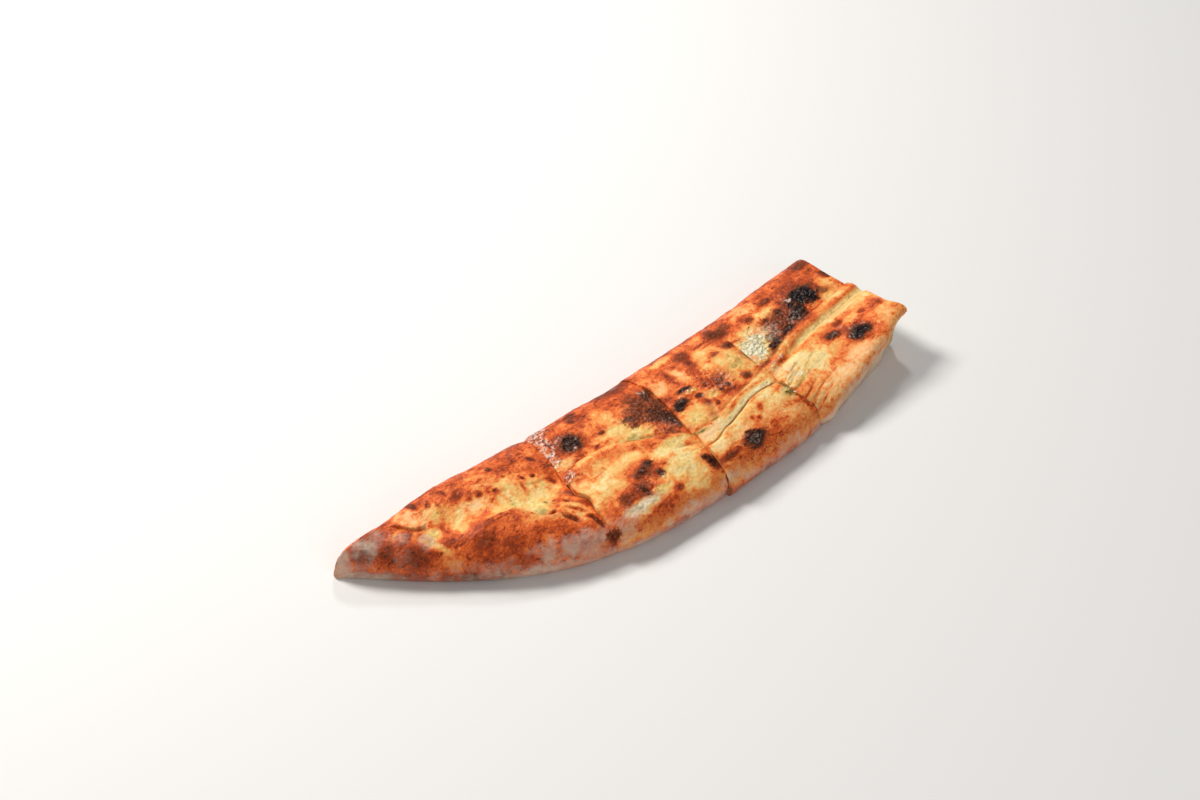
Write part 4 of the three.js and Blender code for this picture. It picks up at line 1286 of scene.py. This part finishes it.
# puckers and painted glare: pale pinkish-white pimples in the glazed patches
puckers_and_glare = crust.ranged(crust.noise(2.0, 3, 0.6, (1, 1, 1), 0.8), 0.46, 0.58)
puckers_and_glare = crust.times(puckers_and_glare, crust.ranged(glaze, 0.1, 0.9, 0.0, 0.85))
tone = crust.mix(puckers_and_glare, tone, crust.mix(thin, (246, 206, 184), (246, 242, 216)))
crust.link(tone, crust.shader.inputs["Base Color"])
beads = crust.ranged(crust.noise(1.7, 3, 0.55), 0.48, 0.6)
beaded = crust.times(crust.times_plus(crisp, 0.8, 0.12), beads)
wet = crust.larger(crust.times(glaze, 0.8), beaded)
crust.link(wet, crust.shader.inputs["Coat Weight"])

# %% Gloss and relief
gloss = crust.ranged(crust.noise(6, 3), 0.35, 0.65, 0.3, 0.58)
gloss = crust.times(gloss, crust.times_plus(crisp, -0.4, 1.0))
matt = crust.larger(crust.larger(flour, crumb), scorch)
crust.link(crust.plus(gloss, crust.times(matt, 0.35)), crust.shader.inputs["Roughness"])
crust.set(Specular_IOR_Level=0.14, Coat_Roughness=0.08)
crust.set(Subsurface_Weight=0.06, Subsurface_Radius=(1.0, 0.4, 0.15), Subsurface_Scale=1.2 * MM)
grain_bump = crust.bump(crust.noise(0.6, 2, 0.5), 0.08)
skin_bump = crust.bump(crust.noise(2.0, 4, 0.6), 0.7, grain_bump)
blistered = crust.plus(crust.larger(scorch, crisp), 0.05)
blisters = crust.times(crust.cells(2.2).outputs["Distance"], blistered)
blister_bump = crust.bump(blisters, 1.3, skin_bump)
crust.link(blister_bump, crust.shader.inputs["Normal"])
crust.link(blister_bump, crust.shader.inputs["Coat Normal"])
for dough in doughs:
    dough.data.materials.append(crust.material)
print("dough finish has", len(crust.tree.nodes), "nodes")

# %% [markdown]
# ## The filling
#
# White cheese and chopped greens fill each slice. They only show at the cuts, where the knife left them
# crumbly, so the frame's own solid is copied, remeshed finely and roughened by lumps that act near the
# cuts alone. The filling follows the wandering cuts, stays under the rolled-down skin and reaches the
# walls of the last slice, whose near side leans out.

# %% The skin above a place, and the lumps of the cheese
ROOM_UNDER_SKIN = 0.4
LUMP_SIZE = 4.2
CRUMB_SIZE = 2.2
LUMPY_DEPTH = 2.5
VOXEL = 0.9
NEAR_WIDENING, FAR_WIDENING = (2.6, 1.2), 1.1


def skin_height(index, x, y):
    past = seam(x) - y
    if index == 0:
        return valley_top(x, y)
    return plain_top(x, y, index) + np.where(past > 0, lip_profile(index, x, past), far_sag(past))


def curds_at(points, size):
    """Rounded lumps: how far a point lies inside its lump, and a number that each lump keeps."""
    inside, own = np.empty(len(points)), np.empty(len(points))
    for i, p in enumerate(points):
        distances, centres = noise.voronoi(Vector(p) / size)
        inside[i] = distances[1] - distances[0]
        own[i] = noise.noise(centres[0] * 7.7)
    return np.clip(inside * 2, 0, 1), own


def modified(piece, kind, **settings):
    """Puts one modifier on a piece and applies it."""
    modifier = piece.modifiers.new(kind.lower(), kind)
    for name, value in settings.items():
        setattr(modifier, name, value)
    bpy.ops.object.modifier_apply(modifier=modifier.name)


# %% Filling pieces
def remeshed_solid(index):
    """The frame's solid of a filling as a fine mesh of its own."""
    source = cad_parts[f"filling_{index + 1}"]
    filling = source.copy()
    filling.data = source.data.copy()
    filling.name = f"cheese_filling_{index + 1}"
    bpy.context.collection.objects.link(filling)
    filling.parent = None
    filling.matrix_world = Matrix.Identity(4)
    filling.data.transform(source.matrix_world)
    filling.data.materials.clear()
    deselect_all()
    bpy.context.view_layer.objects.active = filling
    filling.select_set(True)
    weld()
    modified(filling, "REMESH", mode="VOXEL", voxel_size=VOXEL * MM)
    return filling


def lid_height(index, x, y, from_start, to_end):
    """Height that the filling stays under: the skin's inside, also where the skin is rolled down."""
    lid = skin_height(index, x, y) - WALL - ROOM_UNDER_SKIN
    lid -= rolled_down(index, "end", y, to_end) * 1.3
    if index:
        lid -= rolled_down(index, "start", y, from_start) * 1.3
    return lid + np.minimum(0, bulge(index, x, y, seam(x) - y)) * 1.2


def slice_filling(index):
    filling = remeshed_solid(index)
    mesh = filling.data
    places = np.empty(len(mesh.vertices) * 3, "f")
    mesh.vertices.foreach_get("co", places)
    places = places.reshape(-1, 3).astype(float) / MM - SHIFT
    x, y, z = places.T
    straight = 2 * x - askew(x, y) + wandering(x, y)
    places[:, 0] += wandering(straight, y)
    if index == 3:
        places[:, 1] -= lerp(*NEAR_WIDENING, smoothstep(z, 4, 14)) * smoothstep(-y, 50, 72)
        places[:, 1] += FAR_WIDENING * smoothstep(y, -26, -8)
    from_start = straight - (CUTS[index - 1] if index else -1e3)
    to_end = (LENGTH if index == 3 else CUTS[index]) - straight
    lumps, own = curds_at(places, LUMP_SIZE)
    depth = 1.8 - 1.9 * lumps - 0.5 * noise_at(places, CRUMB_SIZE, 7, 3) + 0.7 * own
    places[:, 0] += np.where(from_start < LUMPY_DEPTH, depth, 0) - np.where(to_end < LUMPY_DEPTH, depth, 0)
    lid = lid_height(index, x, y, from_start, to_end)
    places[:, 2] = np.minimum(z, np.maximum(lid, WALL + 0.6))
    put_mark(mesh, "curd", lumps)
    put_mark(mesh, "own", own * 0.5 + 0.5)
    move_points(mesh, places)
    bpy.ops.object.shade_smooth()
    print(filling.name, len(mesh.vertices), "points")
    return filling


fillings = [slice_filling(index) for index in range(4)]

# %% [markdown]
# Each lump of cheese keeps its own white, from cream to chalk, so that the lumps stand apart. Greens lie
# between the lumps as smears, and a few specks of them sit on the cheese.

# %% Finish of the filling
cheese = Finish("cheese_filling")
crumbly = cheese.noise(2.4, 4, 0.6)
white = cheese.ramp(cheese.times_plus(crumbly, 0.6, cheese.times(cheese.mark("own"), 0.4)), [
    (0.3, (214, 198, 140)), (0.5, (242, 232, 192)), (0.7, (252, 248, 230)),
])
green = cheese.ramp(crumbly, [(0.35, (44, 66, 20)), (0.55, (92, 116, 40)), (0.7, (150, 160, 72))])
smears = cheese.ranged(cheese.noise(3.4, 3, 0.7), 0.54, 0.6)
leafy = cheese.times(smears, cheese.ranged(cheese.mark("curd"), 0.9, 0.2))
leafy = cheese.larger(leafy, cheese.spots(3.0, 0.66, 0.2, 0.34))
cheese.link(cheese.mix(leafy, white, green), cheese.shader.inputs["Base Color"])
cheese.link(cheese.bump(cheese.noise(1.0, 3), 0.35), cheese.shader.inputs["Normal"])
cheese.set(Roughness=0.45, Subsurface_Weight=0.15)
cheese.set(Subsurface_Radius=(1.0, 0.8, 0.5), Subsurface_Scale=1.0 * MM)
for filling in fillings:
    filling.data.materials.append(cheese.material)

# %% [markdown]
# ## Greens and crumbs at the cuts
#
# The knife dragged a little of the filling up with it: scraps of wilted greens and crumbs of cheese lie
# in the third cut, and more stand out of the open end. Colour alone would leave them flat, and they
# throw small shadows, so they are meshes. A scrap is a disc that is inset, cupped and thickened, and a
# crumb is a ball dented by a displacement. Each is modelled once, a millimetre across, and its copies
# are scaled, laid on the surface and joined to one piece.

# %% Models of a scrap and of a crumb
def dents(name, size_mm):
    texture = bpy.data.textures.new(name, "CLOUDS")
    texture.noise_scale = size_mm * MM
    return texture


def leaf_model():
    deselect_all()
    bpy.ops.mesh.primitive_circle_add(vertices=10, radius=0.5 * MM, fill_type="NGON", location=(0, 0, 0))
    leaf = bpy.context.object
    bpy.ops.object.mode_set(mode="EDIT")
    bpy.ops.mesh.select_all(action="SELECT")
    bpy.ops.mesh.inset(thickness=0.22 * MM, depth=-0.12 * MM)
    bpy.ops.mesh.poke()
    bpy.ops.object.mode_set(mode="OBJECT")
    modified(leaf, "SOLIDIFY", thickness=0.12 * MM)
    modified(leaf, "DISPLACE", texture=dents("wilted", 0.5), strength=0.5 * MM, texture_coords="LOCAL")
    bpy.ops.object.shade_smooth()
    return leaf


def crumb_model():
    deselect_all()
    bpy.ops.mesh.primitive_ico_sphere_add(subdivisions=3, radius=0.5 * MM, location=(0, 0, 0))
    ball = bpy.context.object
    modified(ball, "DISPLACE", texture=dents("crumbly", 0.4), strength=0.6 * MM, texture_coords="LOCAL")
    bpy.ops.object.shade_smooth()
    return ball


# %% Strewing them: place along and across the bread, size in millimetres, turn
CUT_GREENS = [
    (253.5, -70.8, 3.0, 60), (253.6, -73.4, 2.2, 80), (253.9, -75.8, 3.0, 95), (254.3, -78.6, 3.6, 70),
    (252.4, -79.6, 2.6, 20), (254.9, -81.6, 2.4, 110), (250.6, -77.4, 2.4, 140),
]
CUT_CRUMBS = [
    (255.4, -72.6, 2.3, 0), (255.8, -75.2, 1.5, 40), (252.6, -75.6, 1.3, 90), (255.4, -79.4, 1.6, 10),
]
ON_END, END_ACROSS, END_UP = 16, (-68, -8), (5, 15)
chance = np.random.default_rng(12)
bpy.context.view_layer.update()


def on_top(x, y):
    """The highest spot of either slice beside the third cut, next to a place."""
    spots = []
    for dough in doughs[2:]:
        for aside in (-0.4, 0.4):
            above = Vector((np.array([x + aside, y, 60]) + SHIFT) * MM)
            hit, place, normal, _ = dough.ray_cast(above, Vector((0, 0, -1)))
            if hit:
                spots.append((place.z, Vector(place), Vector(normal)))
    return max(spots)[1:]


def on_open_end(y, z):
    """The spot on the last slice's filling that faces a place in front of the open end."""
    before = Vector((np.array([LENGTH + 20, y, z]) + SHIFT) * MM)
    hit, place, normal, _ = fillings[3].ray_cast(before, Vector((-1, 0, 0)))
    return (Vector(place), Vector(normal)) if hit else None


def strewn(name, model, width, thickness, marks):
    """Copies of a model laid on the spots, joined to one piece."""
    spots = [(on_top(x, y), size, turn) for x, y, size, turn in marks]
    for y, z in zip(chance.uniform(*END_ACROSS, ON_END), chance.uniform(*END_UP, ON_END)):
        spot = on_open_end(y, z)
        size, turn = chance.uniform(0.7, 1.2) * marks[0][2], chance.uniform(0, 360)
        if spot:
            spots.append((spot, size, turn))
    copies = []
    for (place, normal), size, turn in spots:
        mesh = model.data.copy()
        laid = normal.to_track_quat("Z", "Y").to_matrix().to_4x4()
        turned = Matrix.Rotation(np.radians(turn), 4, "Z")
        scaled = Matrix.Diagonal((size, size * width, size * thickness, 1))
        mesh.transform(Matrix.Translation(place) @ laid @ turned @ scaled)
        copy = bpy.data.objects.new(name, mesh)
        bpy.context.collection.objects.link(copy)
        copies.append(copy)
    deselect_all()
    for copy in copies:
        copy.select_set(True)
    bpy.context.view_layer.objects.active = copies[0]
    bpy.ops.object.join()
    bpy.data.objects.remove(model)
    piece = bpy.context.object
    print(name, len(spots), "copies", len(piece.data.polygons), "faces")
    return piece


green_scraps = strewn("green_scraps", leaf_model(), 0.5, 1.0, CUT_GREENS)
cheese_crumbs = strewn("cheese_crumbs", crumb_model(), 0.8, 0.7, CUT_CRUMBS)

# %% Finish of the scraps and crumbs
wilted = Finish("wilted_greens")
wilted_tone = wilted.ramp(wilted.noise(1.2, 2), [(0.35, (34, 42, 12)), (0.6, (84, 92, 28))])
wilted.link(wilted_tone, wilted.shader.inputs["Base Color"])
wilted.set(Roughness=0.6, Specular_IOR_Level=0.2)
green_scraps.data.materials.append(wilted.material)
cheese_crumbs.data.materials.append(cheese.material)
for mark in ("curd", "own"):
    put_mark(cheese_crumbs.data, mark, [0.5] * len(cheese_crumbs.data.vertices))

# %% [markdown]
# ## Floor, light and camera
#
# A pale floor, and three soft lights: a window behind on the left, a smaller lamp straight behind that
# puts a sheen on the buttered crust, and a broad, weak fill in front on the right, without which the
# near side would go grey. The camera stands where a guest at the table would sit, looking down at about
# 45 degrees, with the pointed end closest.

# %% Floor
deselect_all()
bpy.ops.mesh.primitive_plane_add(size=6, location=(0, 0, 0))
floor = bpy.context.object
floor.name = "floor"
floor_finish = Finish("floor")
floor_finish.set(Base_Color=srgb(236, 235, 233), Roughness=0.85)
floor.data.materials.append(floor_finish.material)


# %% Light
def area_light(name, location, size, watts, colour=(1, 1, 1)):
    """A square light that faces the bread."""
    light = bpy.data.lights.new(name, "AREA")
    light.size = size
    light.energy = watts
    light.color = colour
    lamp = bpy.data.objects.new(name, light)
    lamp.location = location
    lamp.rotation_euler = (Vector((0, 0, 0)) - Vector(location)).to_track_quat("-Z", "Y").to_euler()
    bpy.context.collection.objects.link(lamp)


area_light("window", (-0.35, 1.05, 1.05), 0.42, 22, (1, 0.97, 0.93))
area_light("sheen", (0.95, 1.05, 1.35), 0.22, 8)
area_light("front_fill", (-0.3, -1.3, 0.8), 1.0, 4.2)
world = bpy.data.worlds.new("room")
world.use_nodes = True
world.node_tree.nodes["Background"].inputs["Color"].default_value = (1, 1, 1, 1)
world.node_tree.nodes["Background"].inputs["Strength"].default_value = 0.24
bpy.context.scene.world = world
bpy.context.scene.view_settings.view_transform = "Standard"

# %% Camera
CAMERA_PLACE = Vector((-455.0, -435.0, 672.1)) * MM
AZIMUTH, ELEVATION, ROLL = np.radians((-44, 44.86, 1.14))
level_right = Vector((np.cos(AZIMUTH), np.sin(AZIMUTH), 0))
level_back = Vector((np.sin(AZIMUTH), -np.cos(AZIMUTH), 0))
back = level_back * np.cos(ELEVATION) + Vector((0, 0, np.sin(ELEVATION)))
level_up = back.cross(level_right)
right = level_right * np.cos(ROLL) + level_up * np.sin(ROLL)
up = back.cross(right)
camera = bpy.data.objects.new("camera", bpy.data.cameras.new("camera"))
camera.data.lens = 51
camera.data.clip_end = 20
camera.matrix_world = Matrix.Translation(CAMERA_PLACE) @ Matrix((right, up, back)).transposed().to_4x4()
bpy.context.collection.objects.link(camera)
bpy.context.scene.camera = camera

# %% [markdown]
# ## Handing over
#
# Each slice's dough and filling take the place of the frame's plain solids. The scraps and crumbs are
# extra pieces that ride along.

# %% Each piece stands for its node
for index, (dough, filling) in enumerate(zip(doughs, fillings), 1):
    for piece, kind in ((dough, "dough"), (filling, "filling")):
        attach(piece, "root")
        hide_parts(f"{kind}_{index}")
for piece in (green_scraps, cheese_crumbs):
    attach(piece, "root")
